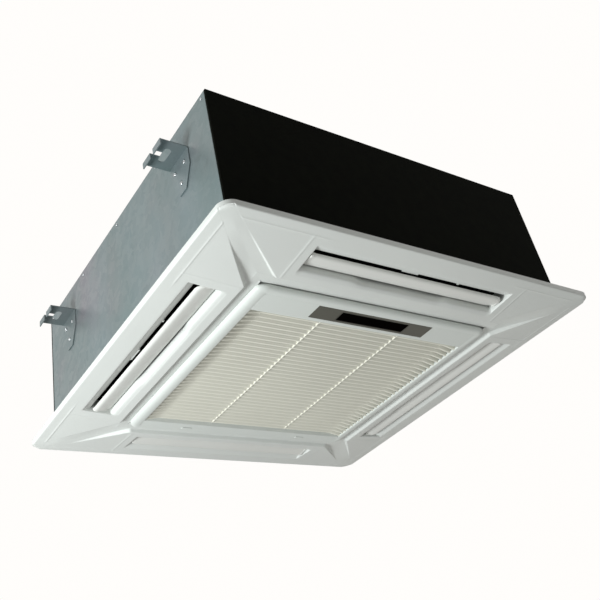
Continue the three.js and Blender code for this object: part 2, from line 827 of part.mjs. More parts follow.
function bellMouth() {
  const half = mouthPlateWidth / 2;
  const plate = squareColumn(half, 8, mouthPlateBottom, mouthPlateTop, 3);
  const hole = rodZ(mouthRadius, 0, 0, mouthPlateBottom - 1, mouthPlateTop + 1, 40);
  const funnel = latheZ(closedProfile([...mouthCurve(mouthWall, 5), ...mouthCurve(0, 5).reverse()]), 40);
  const boxNotch = block(-boxLength / 2 - gap, boxLength / 2 + gap, boxNear - gap, half + 1,
    mouthPlateBottom - 1, mouthPlateTop + 1);
  return cut(join(cut(plate, hole), funnel), boxNotch);
}

function shroudProfile(offset) {
  const steps = 4;
  const inlet = throatRadius + mouthWall + 2;
  return Array.from({ length: steps + 1 }, (_, i) => {
    const angle = (i / steps) * quarterTurn;
    return [inlet + (wheelRadius - inlet) * (1 - Math.cos(angle)),
      wheelBottom + offset + shroudRise * Math.sin(angle)];
  });
}

function fanBlade() {
  const lead = [bladeLeadRadius, -bladeSweep];
  const trail = [wheelRadius - bladeInset, bladeSweep - bladeTwist];
  const middle = [bladeBendRadius, -bladeBend];
  const half = bladeThickness / 2;
  const curve = new THREE.QuadraticBezierCurve(
    new THREE.Vector2(...lead), new THREE.Vector2(...middle), new THREE.Vector2(...trail));
  const steps = 5;
  const sidePoints = (sign) => Array.from({ length: steps + 1 }, (_, i) => {
    const t = i / steps;
    const point = curve.getPoint(t);
    const along = curve.getTangent(t);
    const thick = half * (0.35 + 2.6 * t * (1 - t));
    return [point.x - sign * along.y * thick, point.y + sign * along.x * thick];
  });
  const airfoil = [...sidePoints(-1), ...sidePoints(1).reverse()];
  return prismZ(airfoil, wheelBottom, wheelTop);
}

function hubProfile(offset) {
  return [
    [hubRadius, hubBottom + 18 + offset], [motorRadius + 30, wheelTop - 9 + offset],
    [motorRadius + 45, wheelTop - wheelWall + offset], [wheelRadius, wheelTop - wheelWall + offset],
  ];
}

function fanWheel() {
  const boss = latheZ(closedProfile([
    [shaftRadius + gap, hubBottom], [hubRadius, hubBottom], [hubRadius, hubTop],
    [shaftRadius + gap, hubTop],
  ]), 24);
  const plate = latheZ(closedProfile([
    [hubRadius - 2, hubBottom + 18], ...hubProfile(0), ...hubProfile(wheelWall).reverse(),
    [hubRadius - 2, hubBottom + 18 + wheelWall],
  ]), 30);
  const shroud = latheZ(closedProfile([
    ...shroudProfile(0), ...shroudProfile(wheelWall).reverse(),
  ]), 30);
  const airSpace = latheZ([
    [0, hubBottom + 2], ...shroudProfile(wheelWall / 2).slice(1), ...hubProfile(wheelWall / 2).reverse(),
    [0, hubBottom + 18],
  ], 30);
  const blade = fanBlade().intersect(airSpace);
  const blades = Array.from({ length: bladeCount }, (_, i) => transformed(
    blade, new THREE.Matrix4().makeRotationZ((i / bladeCount) * 2 * Math.PI)));
  return join(boss, plate, shroud, ...blades);
}

function fanNut() {
  const top = hubBottom - gap;
  return cut(rodZ(nutRadius, 0, 0, top - nutHeight, top, 6),
    rodZ(shaftRadius + gap, 0, 0, top - nutHeight - 1, top + 1, 20));
}

function fanMotor() {
  const bore = shaftRadius + gap;
  return latheZ([
    [0, shaftTop + gap], [bore, shaftTop + gap], [bore, motorBottom], [motorRadius - 6, motorBottom],
    [motorRadius, motorBottom + 6], [motorRadius, motorTop], [0, motorTop],
  ], 28);
}

function motorPlate() {
  return rodZ(motorPlateRadius, 0, 0, motorPlateTop - motorPlateSheet, motorPlateTop, 28);
}

function motorDamper(number) {
  const angle = (number / damperCount) * 2 * Math.PI;
  const bottom = motorPlateTop + gap;
  return rodZ(damperRadius, damperCircle * Math.cos(angle), damperCircle * Math.sin(angle),
    bottom, bottom + damperHeight, 16);
}

// ---------------------------------------------------------------- controls

function controlBox() {
  const half = boxLength / 2;
  const far = boxNear + boxWidth;
  const outer = block(-half, half, boxNear, far, boxBottom, boxTop);
  const inner = block(-half + boxWall, half - boxWall, boxNear + boxWall, far - boxWall,
    boxBottom - 1, boxTop - boxWall);
  const lip = block(-half - boxLip, half + boxLip, boxNear, far,
    mouthPlateBottom - gap - boxWall, mouthPlateBottom - gap);
  const lipHole = block(-half + boxWall, half - boxWall, boxNear + boxWall, far - boxWall,
    boxBottom, boxTop - boxWall);
  const posts = [-1, 1].flatMap((sx) => [boxNear + 8, far - 8].map(
    (y) => rodZ(2.5, sx * (half - 20), y, boxTop - boxWall - boardStandoff, boxTop - boxWall + 0.5, 8)));
  return join(cut(join(cut(outer, inner), lip), lipHole), ...posts);
}

function controlBoxCover() {
  const half = boxLength / 2;
  const top = boxBottom - gap;
  return block(-half, half, boxNear, boxNear + boxWidth, top - boxWall, top);
}

function controlBoard() {
  const half = boxLength / 2 - boxWall - 3;
  const top = boxTop - boxWall - boardStandoff - gap;
  const near = boxNear + boxWall + 2;
  const far = boxNear + boxWidth - boxWall - 2;
  const under = top - boardSheet;
  const board = block(-half, half, near, far, under, top);
  const root = under + solderDepth;
  const transformer = block(transformerX, transformerX + transformerLength, near + 4, far - 4,
    under - transformerHeight, root);
  const terminals = block(terminalX, terminalX + terminalLength, near + 2, near + 2 + terminalWidth,
    under - terminalHeight, root);
  const capacitor = rodZ(capacitorRadius, capacitorX, near + 18, under - capacitorHeight, root, 16);
  const relays = Array.from({ length: relayCount }, (_, i) => {
    const x = relayX + i * relayPitch;
    return block(x, x + relayLength, near + 16, far - 4, under - relayHeight, root);
  });
  return join(board, transformer, terminals, capacitor, ...relays);
}

// ---------------------------------------------------------------- panel

function screwCorners() {
  const at = openingWidth / 2 - screwInset;
  return [[at, at], [-at, at], [-at, -at], [at, -at]];
}

function panelSkin() {
  const outer = loft([
    squareRing(openingHalf, panelCorner - rimRound, -openingDrop),
    squareRing(panelHalf - rimRound, panelCorner - rimRound, -rimDrop),
    squareRing(panelHalf, panelCorner, rimRound - rimDrop),
    squareRing(panelHalf, panelCorner, 0),
  ]);
  const inner = loft([
    squareRing(openingHalf, panelCorner - rimRound, shell - openingDrop),
    squareRing(panelHalf - shell, panelCorner - shell, shell - rimDrop),
    squareRing(panelHalf - shell, panelCorner - shell, 1),
  ]);
  return outer.subtract(inner);
}

function openingFrame() {
  const ring = (half, z0, z1) => cut(
    squareColumn(openingHalf + half, 4, z0, z1, 2), squareColumn(openingHalf - 1, 4, z0 - 1, z1 + 1, 2));
  const footBottom = shell / 2 - openingDrop;
  const wall = ring(shell, footBottom, panelTop);
  const foot = ring(footWidth, footBottom + 1, footBottom + 1 + footHeight);
  const ledge = cut(
    squareColumn(openingHalf + 1, 4, panelTop - ledgeSheet, panelTop, 2),
    squareColumn(openingHalf - ledgeWidth, 4, panelTop - ledgeSheet - 1, panelTop + 1, 2));
  return join(wall, foot, ledge);
}

function openingCut() {
  const bevelled = openingHalf + openingBevel;
  const low = undersideAt(bevelled);
  return join(
    squareColumn(openingHalf, 4, -openingDrop - 2, panelTop - ledgeSheet, 2),
    loft([
      squareRing(bevelled, 4, -openingDrop - 1, 2), squareRing(bevelled, 4, low, 2),
      squareRing(openingHalf, 4, low + openingBevelRise, 2),
    ]));
}

// Outlet duct of the front side, solid, with its walls standing on the skin.
function ductBlock() {
  const outer = slotOuter + shell;
  const inner = slotInner - shell;
  const end = slotHalf + shell;
  return prismX([
    [-outer, undersideAt(outer) + shell / 2], [-inner, undersideAt(inner) + shell / 2],
    [-inner, panelTop], [-outer, panelTop],
  ], -end, end);
}

function airway() {
  return prismX([
    [-slotOuter, -openingDrop - 4], [-slotInner, -openingDrop - 4],
    [-slotInner, undersideAt(slotInner)], [-throatInner, -throatInnerDrop],
    [-throatInner, panelTop + 1], [-throatOuter, panelTop + 1],
    [-throatOuter, -throatOuterDrop], [-slotOuter, undersideAt(slotOuter)],
  ], -slotHalf, slotHalf);
}

// Space behind the slot's outer slope, open to the top.
function slopePocket() {
  const rise = shell * 1.3;
  return prismX([
    [-slotOuter, undersideAt(slotOuter) + rise], [-throatOuter - shell, -throatOuterDrop - 1 + rise],
    [-throatOuter - shell, panelTop + 1], [-slotOuter, panelTop + 1],
  ], -slotHalf, slotHalf);
}

function shaftPost(x) {
  const half = postWidth / 2;
  return block(x - postThick / 2, x + postThick / 2, -axisOffset - half, -axisOffset + half,
    undersideAt(axisOffset) + shell / 2, -axisDrop + half);
}

function panelFrame() {
  let frame = join(panelSkin(), openingFrame());
  const quarters = [0, 1, 2, 3];
  const postX = axisOffset - postFromApex;
  const motorPost = -stubEnd - motorPostGap - postThick / 2;
  quarters.forEach((k) => {
    const farPost = k === 3 ? [] : [shaftPost(postX)];
    const nearPost = [shaftPost(k === 0 ? motorPost : -postX)];
    const fittings = join(ductBlock(), ...farPost, ...nearPost);
    frame = frame.add(turned(fittings, k));
  });
  quarters.forEach((k) => {
    const stubs = layX(stubRadius + gap, -axisOffset, -axisDrop, -slotHalf - shell - 1, slotHalf + shell + 1);
    const shafts = [-1, 1].map((side) => layX(driveShaftRadius + gap, -axisOffset, -axisDrop,
      side * (slotHalf + shell + 2) - (side < 0 ? postFromApex * 3 : 0),
      side * (slotHalf + shell + 2) + (side > 0 ? postFromApex * 3 : 0)));
    frame = frame.subtract(turned(join(airway(), slopePocket()), k));
    frame = frame.subtract(turned(join(stubs, ...shafts), k));
  });
  const screws = screwCorners().map(([x, y]) => rodZ(screwHole, x, y, 0, panelTop + 1, 12));
  frame = cut(frame, openingCut(), ...screws, latchGroove());
  return join(frame, ...hingeHooks());
}

// Groove in the opening's rear edge that both latch tongues slide into.
function latchGroove() {
  const half = latchX + latchTongueWidth / 2 + grooveMargin;
  return block(-half, half, openingHalf - 1, openingHalf + latchEngage + grooveMargin,
    latchTongueBottom() - gap, latchTongueBottom() + latchTongueThick + grooveMargin);
}

// Hooks that come down from the opening's front wall and hold the grille's hinge pins.
function hingeHooks() {
  const r = hingeHookRadius;
  const top = -hookArmHeight;
  return [-1, 1].map((side) => {
    const x0 = side * hingeX - hingeHookWidth / 2;
    const x1 = side * hingeX + hingeHookWidth / 2;
    const arm = prismX([
      [-openingHalf - 1, top - hookArmHeight], [hingeY - r, top - hookArmHeight], [hingeY - r, -hingeDrop],
      [hingeY + r, -hingeDrop], [hingeY + r, top], [-openingHalf - 1, top],
    ], x0, x1);
    const eye = layX(r, hingeY, -hingeDrop, x0, x1, 20);
    const bore = layX(hingePinRadius + gap, hingeY, -hingeDrop, x0 - 1, x1 + 1, 16);
    const mouth = block(x0 - 1, x1 + 1, hingeY, hingeY + r + 1,
      -hingeDrop - hingePinRadius * 0.8, -hingeDrop + hingePinRadius * 0.8);
    return cut(join(arm, eye), bore, mouth);
  });
}

function panelGasket() {
  const z0 = panelTop + gap;
  const z1 = z0 + gasketHeight;
  const outer = squareColumn(bodyHalfY - sheet, 6, z0, z1, 2);
  const inner = squareColumn(openingHalf, 6, z0 - 1, z1 + 1, 2);
  const slot = block(-slotHalf, slotHalf, -throatOuter, -ductInner - 2, z0 - 1, z1 + 1);
  return cut(outer, inner, ...[0, 1, 2, 3].map((k) => turned(slot, k)));
}

// ---------------------------------------------------------------- louvres and bevel gears

// Louvre blade of the front side: a shallow bow below its axis, with an arm and a stub at each end.
function louvre(drivenByMotor) {
  const half = louvreChord / 2;
  const steps = 6;
  const face = (sign) => Array.from({ length: steps + 1 }, (_, i) => {
    const u = -half + (i / steps) * louvreChord;
    const bow = 1 - (u / half) ** 2;
    const thick = louvreEdge / 2 + (louvreThick - louvreEdge) / 2 * bow;
    return [-axisOffset + u, -axisDrop - louvreArm - louvreSag * bow + sign * thick];
  });
  const blade = prismX([...face(-1), ...face(1).reverse()], -louvreHalf, louvreHalf);
  const low = -axisDrop - louvreArm - louvreSag;
  const arm = (x0) => prismX([
    [-axisOffset - armWidth / 2, low + 0.4], [-axisOffset + armWidth / 2, low + 0.4],
    [-axisOffset + stubRadius, -axisDrop + stubRadius], [-axisOffset - stubRadius, -axisDrop + stubRadius],
  ], x0, x0 + armThick);
  const whole = join(blade, arm(-louvreHalf), arm(louvreHalf - armThick),
    layX(stubRadius, -axisOffset, -axisDrop, -stubEnd, -louvreHalf + armThick / 2),
    layX(stubRadius, -axisOffset, -axisDrop, louvreHalf - armThick / 2, stubEnd));
  const socket = layX(louvreMotorShaft + gap, -axisOffset, -axisDrop, -stubEnd - 1, -louvreHalf - 1, 12);
  return drivenByMotor ? cut(whole, socket) : whole;
}

// Bevel gear with its coupling shaft, along +X about the axis; the cones' apex is at axisOffset.
function gearShaft(phase) {
  const coneLength = gearPitchRadius / Math.sin(Math.PI / 4);
  const rootAngle = Math.PI / 4 - Math.atan(gearDedendum / coneLength);
  const tipAngle = Math.PI / 4 + Math.atan(gearAddendum / coneLength);
  const module = (2 * gearPitchRadius) / gearTeeth;
  const half = (module * Math.PI) / 4 - toothBacklash;
  const tipHalf = (half - gearAddendum * toothFlankSlope) / (gearPitchRadius + gearAddendum * Math.SQRT1_2);
  const rootHalf = (half + gearDedendum * toothFlankSlope) / (gearPitchRadius - gearDedendum * Math.SQRT1_2);
  const pitchAngle = (2 * Math.PI) / gearTeeth;
  const ringAt = (fromApex) => Array.from({ length: gearTeeth }, (_, tooth) => {
    const middle = (tooth + phase) * pitchAngle;
    return [[-rootHalf, rootAngle], [-tipHalf, tipAngle], [tipHalf, tipAngle], [rootHalf, rootAngle]]
      .map(([turn, cone]) => {
        const radius = fromApex * Math.tan(cone);
        return [axisOffset - fromApex, radius * Math.cos(middle + turn), radius * Math.sin(middle + turn)];
      });
  }).flat();
  const heel = gearPitchRadius;
  const crown = loft([ringAt(heel), ringAt(heel - gearFace)]);
  const sleeveRadius = stubRadius + gap + sleeveWall;
  const sleeveStart = slotHalf + shell + gap;
  const sleeveEnd = stubEnd + gap;
  const hubStart = axisOffset - heel - gearHubLength;
  const shaft = latheX([
    [0, sleeveEnd], [stubRadius + gap, sleeveEnd], [stubRadius + gap, sleeveStart],
    [sleeveRadius, sleeveStart], [sleeveRadius, sleeveEnd + sleeveDepth],
    [driveShaftRadius, sleeveEnd + sleeveDepth], [driveShaftRadius, hubStart],
    [gearHubRadius, hubStart], [gearHubRadius, axisOffset - heel + 0.5], [0, axisOffset - heel + 0.5],
  ], 8, 0, 0);
  return join(shaft, crown);
}

// A gear at the louvre's far end as drawn, or turned about Z and X to its near end.
function placedGear(farEnd) {
  const shape = gearShaft(farEnd ? 0 : 0.5);
  const matrix = farEnd ? new THREE.Matrix4() : new THREE.Matrix4().makeRotationY(Math.PI);
  return transformed(shape, matrix.setPosition(0, -axisOffset, -axisDrop));
}

function louvreMotor() {
  const face = -stubEnd - motorPostGap - postThick - gap;
  const tip = -louvreHalf - armThick;
  return latheX([
    [0, face - louvreMotorLength], [louvreMotorRadius, face - louvreMotorLength],
    [louvreMotorRadius, face], [louvreMotorShaft, face], [louvreMotorShaft, tip], [0, tip],
  ], 16, -axisOffset, -axisDrop);
}

// ---------------------------------------------------------------- return grille

function grilleBody() {
  const face = grilleHalf - grilleBevel;
  return loft([
    squareRing(face, 4, -grilleDrop, 2), squareRing(grilleHalf, 4, grilleBevelRise - grilleDrop, 2),
    squareRing(grilleHalf, 4, grilleTop, 2),
  ]);
}

// Shallow tray seen from below: steep front and rear edges, gently sloped left and right sides.
function fieldTray() {
  const ring = (halfX, y0, y1, z) => roundedRing(-halfX, halfX, y0, y1, 2, z, 1);
  return loft([
    ring(fieldHalfX, fieldFront, fieldRear, -grilleDrop - 1),
    ring(fieldHalfX, fieldFront, fieldRear, -grilleDrop),
    ring(fieldFloorHalfX, fieldFront + fieldDraft, fieldRear - fieldDraft, -fieldFloorDrop),
  ]);
}

function fieldWindows() {
  const y0 = fieldFront + fieldDraft;
  const pitch = (fieldRear - fieldFront - 2 * fieldDraft) / slatCount;
  const edges = [-fieldFloorHalfX, -dividerX, dividerX, fieldFloorHalfX];
  const windows = [];
  for (let row = 0; row < slatCount; row += 1) {
    const middle = y0 + (row + 0.5) * pitch;
    for (let column = 0; column < 3; column += 1) {
      windows.push(block(edges[column] + dividerWidth / 2, edges[column + 1] - dividerWidth / 2,
        middle - slatGap / 2, middle + slatGap / 2, -fieldFloorDrop - 1, -fieldFloorDrop + grilleFloor + 1));
    }
  }
  return windows;
}

// Hollow back of a border between two lines, following the bevel outside.
function borderPocket(y0, y1) {
  const inset = grilleHalf - grilleWall;
  const low = borderPocketLimit();
  const reach = (y, half) => Math.sign(y) * Math.min(Math.abs(y), half);
  const ring = (half, z) => roundedRing(-half, half, reach(y0, half), reach(y1, half), 1, z, 1);
  return loft([ring(low, grilleSkin - grilleDrop), ring(inset, grilleBevelRise - grilleDrop),
    ring(inset, grilleTop + 1)]);
}

// Half width of the grille's flat back, clear of the bevel.
function borderPocketLimit() {
  return grilleHalf - grilleBevel - grilleWall / 2;
}

// Hollow backs of the four borders, and the space over the slatted floor.
function grillePockets() {
  const inset = grilleHalf - grilleWall;
  const seat = fieldFloorHalfX + filterSeat;
  const slope = (grilleDrop - fieldFloorDrop) / (fieldHalfX - fieldFloorHalfX);
  const back = (x) => -grilleDrop + grilleFloor + (fieldHalfX - x) * slope;
  const side = prismY([
    [seat, back(seat)], [fieldHalfX, back(fieldHalfX)], [borderPocketLimit(), back(fieldHalfX)],
    [inset, grilleBevelRise - grilleDrop], [inset, grilleTop + 1], [seat, grilleTop + 1],
  ], fieldFront, fieldRear);
  const top = block(grilleWall - fieldFloorHalfX, fieldFloorHalfX - grilleWall,
    fieldFront + fieldDraft + 1, fieldRear - fieldDraft - 1, grilleFloor - fieldFloorDrop, grilleTop + 1);
  return [borderPocket(-grilleHalf, fieldFront - grilleWall), borderPocket(fieldRear + grilleWall, grilleHalf),
    side, turned(side, 2), top];
}

function grille() {
  const z0 = grilleSkin - grilleDrop;
  const latchSlots = [-1, 1].map((side) => block(
    side * latchX - latchButtonWidth / 2 - gap, side * latchX + latchButtonWidth / 2 + gap,
    latchFront() - latchButtonLength - gap, latchFront() + latchTravel + gap, -grilleDrop - 1, z0 + 1));
  const tongueNotches = [-1, 1].map((side) => block(
    side * latchX - latchTongueWidth / 2 - gap, side * latchX + latchTongueWidth / 2 + gap,
    borderPocketLimit() - 1, grilleHalf + 1, latchTongueBottom() - gap, grilleTop + 1));
  const displayHole = block(-displayLength / 2 - gap, displayLength / 2 + gap,
    displayY - displayWidth / 2 - gap, displayY + displayWidth / 2 + gap, -grilleDrop - 1, z0 + 1);
  const body = cut(grilleBody(), fieldTray(), ...grillePockets(), ...fieldWindows(), ...latchSlots,
    ...tongueNotches, displayHole);
  const knuckles = [-1, 1].map((side) => block(
    side * hingeX - hingeBlock / 2, side * hingeX + hingeBlock / 2, -grilleHalf + 0.5,
    hingeY + hingeHookRadius + 3, z0 - 0.5, grilleTop));
  const notches = [-1, 1].map((side) => block(
    side * hingeX - hingeNotch / 2, side * hingeX + hingeNotch / 2, -grilleHalf - 1,
    hingeY + hingeHookRadius + 4, z0, grilleTop + 1));
  const pins = [-1, 1].map((side) => layX(hingePinRadius, hingeY, -hingeDrop,
    side * hingeX - hingeNotch / 2 - 2, side * hingeX + hingeNotch / 2 + 2, 12));
  return join(cut(join(body, ...knuckles), ...notches), ...pins);
}

function airFilter() {
  const halfX = fieldFloorHalfX + filterFrame + 4;
  const y0 = fieldFront + 2;
  const y1 = fieldRear - 2;
  const z0 = grilleTop + gap;
  const outer = block(-halfX, halfX, y0, y1, z0, z0 + filterThick);
  const pitch = (2 * (halfX - filterFrame)) / filterRibs;
  const pockets = Array.from({ length: filterRibs }, (_, i) => {
    const x = -halfX + filterFrame + i * pitch;
    return block(x + 2, x + pitch - 2, y0 + filterFrame, y1 - filterFrame, z0 + filterNet, z0 + filterThick + 1);
  });
  return cut(outer, ...pockets);
}

// Front edge of the latch's plate while it is drawn back, and the height of its tongue.
function latchFront() {
  return borderPocketLimit() - gap - latchTravel;
}

function latchTongueBottom() {
  return grilleSkin - grilleDrop + gap + latchPlateThick - 1;
}

// Finger latch, drawn back: a plate on the rear border's back, a button through the border's slot
// and a tongue that slides out over the opening's edge.
function slideLatch() {
  const z0 = grilleSkin - grilleDrop + gap;
  const front = latchFront();
  const half = latchPlateWidth / 2;
  const plate = block(-half, half, front - latchPlateLength, front, z0, z0 + latchPlateThick);
  const button = block(-latchButtonWidth / 2, latchButtonWidth / 2, front - latchButtonLength, front,
    -grilleDrop - latchProud, z0 + 0.5);
  const tongue = block(-latchTongueWidth / 2, latchTongueWidth / 2, front - 1,
    openingHalf + latchEngage - latchTravel, latchTongueBottom(), latchTongueBottom() + latchTongueThick);
  return join(plate, button, tongue);
}

function displayBezel() {
  const z0 = grilleSkin - grilleDrop;
  const halfX = displayLength / 2;
  const halfY = displayWidth / 2;
  const plate = block(-halfX, halfX, displayY - halfY, displayY + halfY, -grilleDrop, z0 + gap + 0.5);
  const flange = block(-halfX - displayFlange, halfX + displayFlange, displayY - halfY - displayFlange,
    displayY + halfY + displayFlange, z0 + gap, z0 + gap + displayThick);
  const hole = block(-windowLength / 2 - gap, windowLength / 2 + gap, displayY - windowWidth / 2 - gap,
    displayY + windowWidth / 2 + gap, -grilleDrop - 1, -grilleDrop + windowThick + gap);
  return cut(join(plate, flange), hole);
}

function displayWindow() {
  return block(-windowLength / 2, windowLength / 2, displayY - windowWidth / 2, displayY + windowWidth / 2,
    -grilleDrop, -grilleDrop + windowThick);
}

// ---------------------------------------------------------------- assembly

function casing() {
  const group = new THREE.Group();
  group.add(piece('top_plate', topPlate(), galvanised));
  group.add(piece('side_wall_left', sideWall(), galvanised));
  const rightWall = cut(turned(sideWall(), 2), pipeWindow(bodyHalfX - 2, bodyHalfX + 1));
  group.add(piece('side_wall_right', rightWall, galvanised));
  group.add(piece('end_wall_front', endWall(-1), galvanised));
  group.add(piece('end_wall_rear', endWall(1), galvanised));
  group.add(piece('foam_skin_front', foamSheet(-1), blackFoam));
  group.add(piece('foam_skin_rear', foamSheet(1), blackFoam));
  group.add(piece('base_frame', baseFrame(), galvanised));
  group.add(piece('insulation_liner', liner(), polystyrene));
  group.add(piece('pipe_cover', pipeCover(), galvanised));
  group.add(piece('cable_gland', cableGland(), blackPlastic));
  return group;
}

function hangers() {
  const group = new THREE.Group();
  for (const side of ['left', 'right']) {
    for (const end of ['front', 'rear']) {
      const bracket = piece(`hanger_${side}_${end}`, hanger(), galvanised);
      bracket.rotation.z = side === 'left' ? 0 : Math.PI;
      bracket.position.y = (end === 'front' ? -1 : 1) * hangerPitch / 2;
      group.add(bracket);
    }
  }
  return group;
}

function refrigerantSet() {
  const group = new THREE.Group();
  group.add(piece('coil', coil(), finBlue));
  group.add(piece('coil_end_plate_rear', coilEndPlate(), galvanised));
  group.add(piece('coil_end_plate_right', mirroredOnDiagonal(coilEndPlate()), galvanised));
  group.add(piece('gas_pipe', gasPipe(), copper));
  group.add(piece('liquid_pipe', liquidPipe(), copper));
  group.add(piece('gas_flare_nut', flareNut(gasPipeRadius, gasPipeY), brass));
  group.add(piece('liquid_flare_nut', flareNut(liquidPipeRadius, liquidPipeY), brass));
  return group;
}

function drainSet() {
  const group = new THREE.Group();
  group.add(piece('drain_pan', drainPan(), polystyrene));
  group.add(piece('drain_pump', drainPump(), greyPlastic));
  group.add(piece('pump_bracket', pumpBracket(), galvanised));
  group.add(piece('drain_hose', drainHose(), rubber));
  group.add(piece('drain_spigot', drainSpigot(), greyPlastic));
  group.add(piece('float_switch', floatSwitch(), whitePlastic));
  group.add(piece('float', floatRing(), whitePlastic));
  return group;
}

function fanSet() {
  const group = new THREE.Group();
  group.add(piece('bell_mouth', bellMouth(), greyPlastic));
  group.add(piece('fan_wheel', fanWheel(), whitePlastic));
  group.add(piece('fan_shaft', rodZ(shaftRadius, 0, 0, shaftBottom, shaftTop, 20), steel));
  group.add(piece('fan_nut', fanNut(), steel));
  group.add(piece('fan_motor', fanMotor(), motorPaint));
  group.add(piece('motor_plate', motorPlate(), galvanised));
  for (let number = 0; number < damperCount; number += 1) {
    group.add(piece(`motor_damper_${number + 1}`, motorDamper(number), rubber));
  }
  return group;
}

function controls() {
  const group = new THREE.Group();
  group.add(piece('control_box', controlBox(), galvanised));
  group.add(piece('control_box_cover', controlBoxCover(), galvanised));
  group.add(piece('control_board', controlBoard(), boardGreen));
  return group;
}

function louvreSet() {
  const group = new THREE.Group();
  ['front', 'right', 'rear', 'left'].forEach((side, k) => {
    const bay = new THREE.Group();
    bay.rotation.z = k * quarterTurn;
    bay.add(piece(`louvre_${side}`, louvre(k === 0), whitePlastic));
    if (k > 0) {
      bay.add(piece(`gear_${side}_near`, placedGear(false), greyPlastic));
    }
    if (k < 3) {
      bay.add(piece(`gear_${side}_far`, placedGear(true), greyPlastic));
    }
    group.add(bay);
  });
  group.add(piece('louvre_motor', louvreMotor(), greyPlastic));
  return group;
}

function grilleSet() {
  const group = new THREE.Group();
  group.add(piece('return_grille', grille(), whitePlastic));
  group.add(piece('air_filter', airFilter(), filterGrey));
  group.add(piece('display_bezel', displayBezel(), bezelPlastic));
  group.add(piece('display_window', displayWindow(), windowPlastic));
  for (const [side, name] of [[-1, 'latch_left'], [1, 'latch_right']]) {
    const latch = piece(name, slideLatch(), whitePlastic);
    latch.position.x = side * latchX;
    group.add(latch);
  }
  return group;
}

const unit = new THREE.Group();
unit.add(casing(), hangers(), refrigerantSet(), drainSet(), fanSet(), controls());
unit.add(piece('panel_frame', panelFrame(), whitePlastic));
unit.add(piece('panel_gasket', panelGasket(), blackFoam));
unit.add(louvreSet(), grilleSet());
unit.position.z = -hangerHeight;

const assembly = new THREE.Group();
assembly.add(unit);

export default assembly;
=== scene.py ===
import math

import bmesh
import bpy
from mathutils import Matrix, Vector

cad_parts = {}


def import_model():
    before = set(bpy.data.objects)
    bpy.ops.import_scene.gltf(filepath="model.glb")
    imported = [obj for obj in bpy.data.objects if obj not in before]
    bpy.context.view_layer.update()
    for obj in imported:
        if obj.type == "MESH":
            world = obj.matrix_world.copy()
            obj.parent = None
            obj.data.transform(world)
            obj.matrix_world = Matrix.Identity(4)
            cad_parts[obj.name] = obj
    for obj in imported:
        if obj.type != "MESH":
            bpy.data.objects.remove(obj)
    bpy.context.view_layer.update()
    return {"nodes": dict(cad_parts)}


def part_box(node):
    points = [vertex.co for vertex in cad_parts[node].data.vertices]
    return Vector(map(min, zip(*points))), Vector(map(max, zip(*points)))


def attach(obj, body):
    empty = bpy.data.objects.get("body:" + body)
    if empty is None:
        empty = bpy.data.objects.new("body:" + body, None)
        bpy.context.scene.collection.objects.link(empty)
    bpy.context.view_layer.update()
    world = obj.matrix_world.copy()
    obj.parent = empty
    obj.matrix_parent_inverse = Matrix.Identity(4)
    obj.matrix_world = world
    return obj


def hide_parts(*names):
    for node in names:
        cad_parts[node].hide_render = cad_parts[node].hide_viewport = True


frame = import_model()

# A ceiling cassette air conditioner seen from below. Lengths are in millimetres in the ceiling frame,
# where z = 0 is the ceiling face; CEILING lowers them to the row's frame, and MM turns them to metres.

MM = 0.001
CEILING = -250.0
QUARTER = math.pi / 2

# ------------------------------------------------------------------ sizes shared with the frame

PANEL_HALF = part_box("panel_frame")[1][0] / MM
GRILLE_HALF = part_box("return_grille")[1][0] / MM
BODY_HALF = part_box("top_plate")[1][0] / MM
PANEL_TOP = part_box("panel_frame")[1][2] / MM - CEILING
AXIS_OFFSET = 384.0
AXIS_Z = -3.0

# Panel underside
RIM_CORNER = 28.0
RIM_ROUND = 3.5
RIM_START = PANEL_HALF - RIM_ROUND
RIM_LOW = -12.04
SLOPE = 14.0 / 172.0          # fall of the four faces towards the grille
GROOVE_OUTER = 330.0          # edge of the faces at the grille's groove
GROOVE_FLOOR = 323.0
GROOVE_Z = -14.2
KITE_END = 432.0              # corner valleys run out here
CREASE_WIDE = 11.0
CREASE_NARROW = 4.0
SKIN = 2.6

# Outlet slots
SLOT_HALF = 258.0
SLOT_IN = 348.0
SLOT_OUT = 430.0
THROAT_IN = 358.0
THROAT_OUT = 409.0

# Grille hinge, its latches and the posts that carry the louvres' shafts
HINGE_X = 200.0
HINGE_Y = -290.0
HINGE_Z = -20.0
LATCH_X = 164.0
SHAFT_POST = 348.0


def clamp(value):
    return max(0.0, min(1.0, value))


def smooth(value):
    value = clamp(value)
    return value * value * (3 - 2 * value)


def mix(a, b, share):
    return a + (b - a) * share


# ------------------------------------------------------------------ mesh helpers

def to_row(point):
    return (point[0] * MM, point[1] * MM, (point[2] + CEILING) * MM)


def turn_quarter(point, quarters):
    x, y, z = point
    for _ in range(quarters % 4):
        x, y = -y, x
    return (x, y, z)


def make_object(name, points, faces, material, body, merge=0.02, smooth_angle=40.0):
    """A mesh object from millimetre points, riding on a body."""
    mesh = bpy.data.meshes.new(name)
    mesh.from_pydata([to_row(p) for p in points], [], faces)
    shape = bmesh.new()
    shape.from_mesh(mesh)
    if merge:
        bmesh.ops.remove_doubles(shape, verts=shape.verts, dist=merge * MM)
    loose = [v for v in shape.verts if not v.link_faces]
    bmesh.ops.delete(shape, geom=loose, context="VERTS")
    bmesh.ops.recalc_face_normals(shape, faces=shape.faces)
    shape.to_mesh(mesh)
    shape.free()
    obj = bpy.data.objects.new(name, mesh)
    bpy.context.scene.collection.objects.link(obj)
    finish_object(obj, material, body, smooth_angle)
    return obj


def finish_object(obj, material, body, smooth_angle=40.0):
    obj.data.materials.clear()
    obj.data.materials.append(material)
    shade(obj, smooth_angle)
    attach(obj, body)


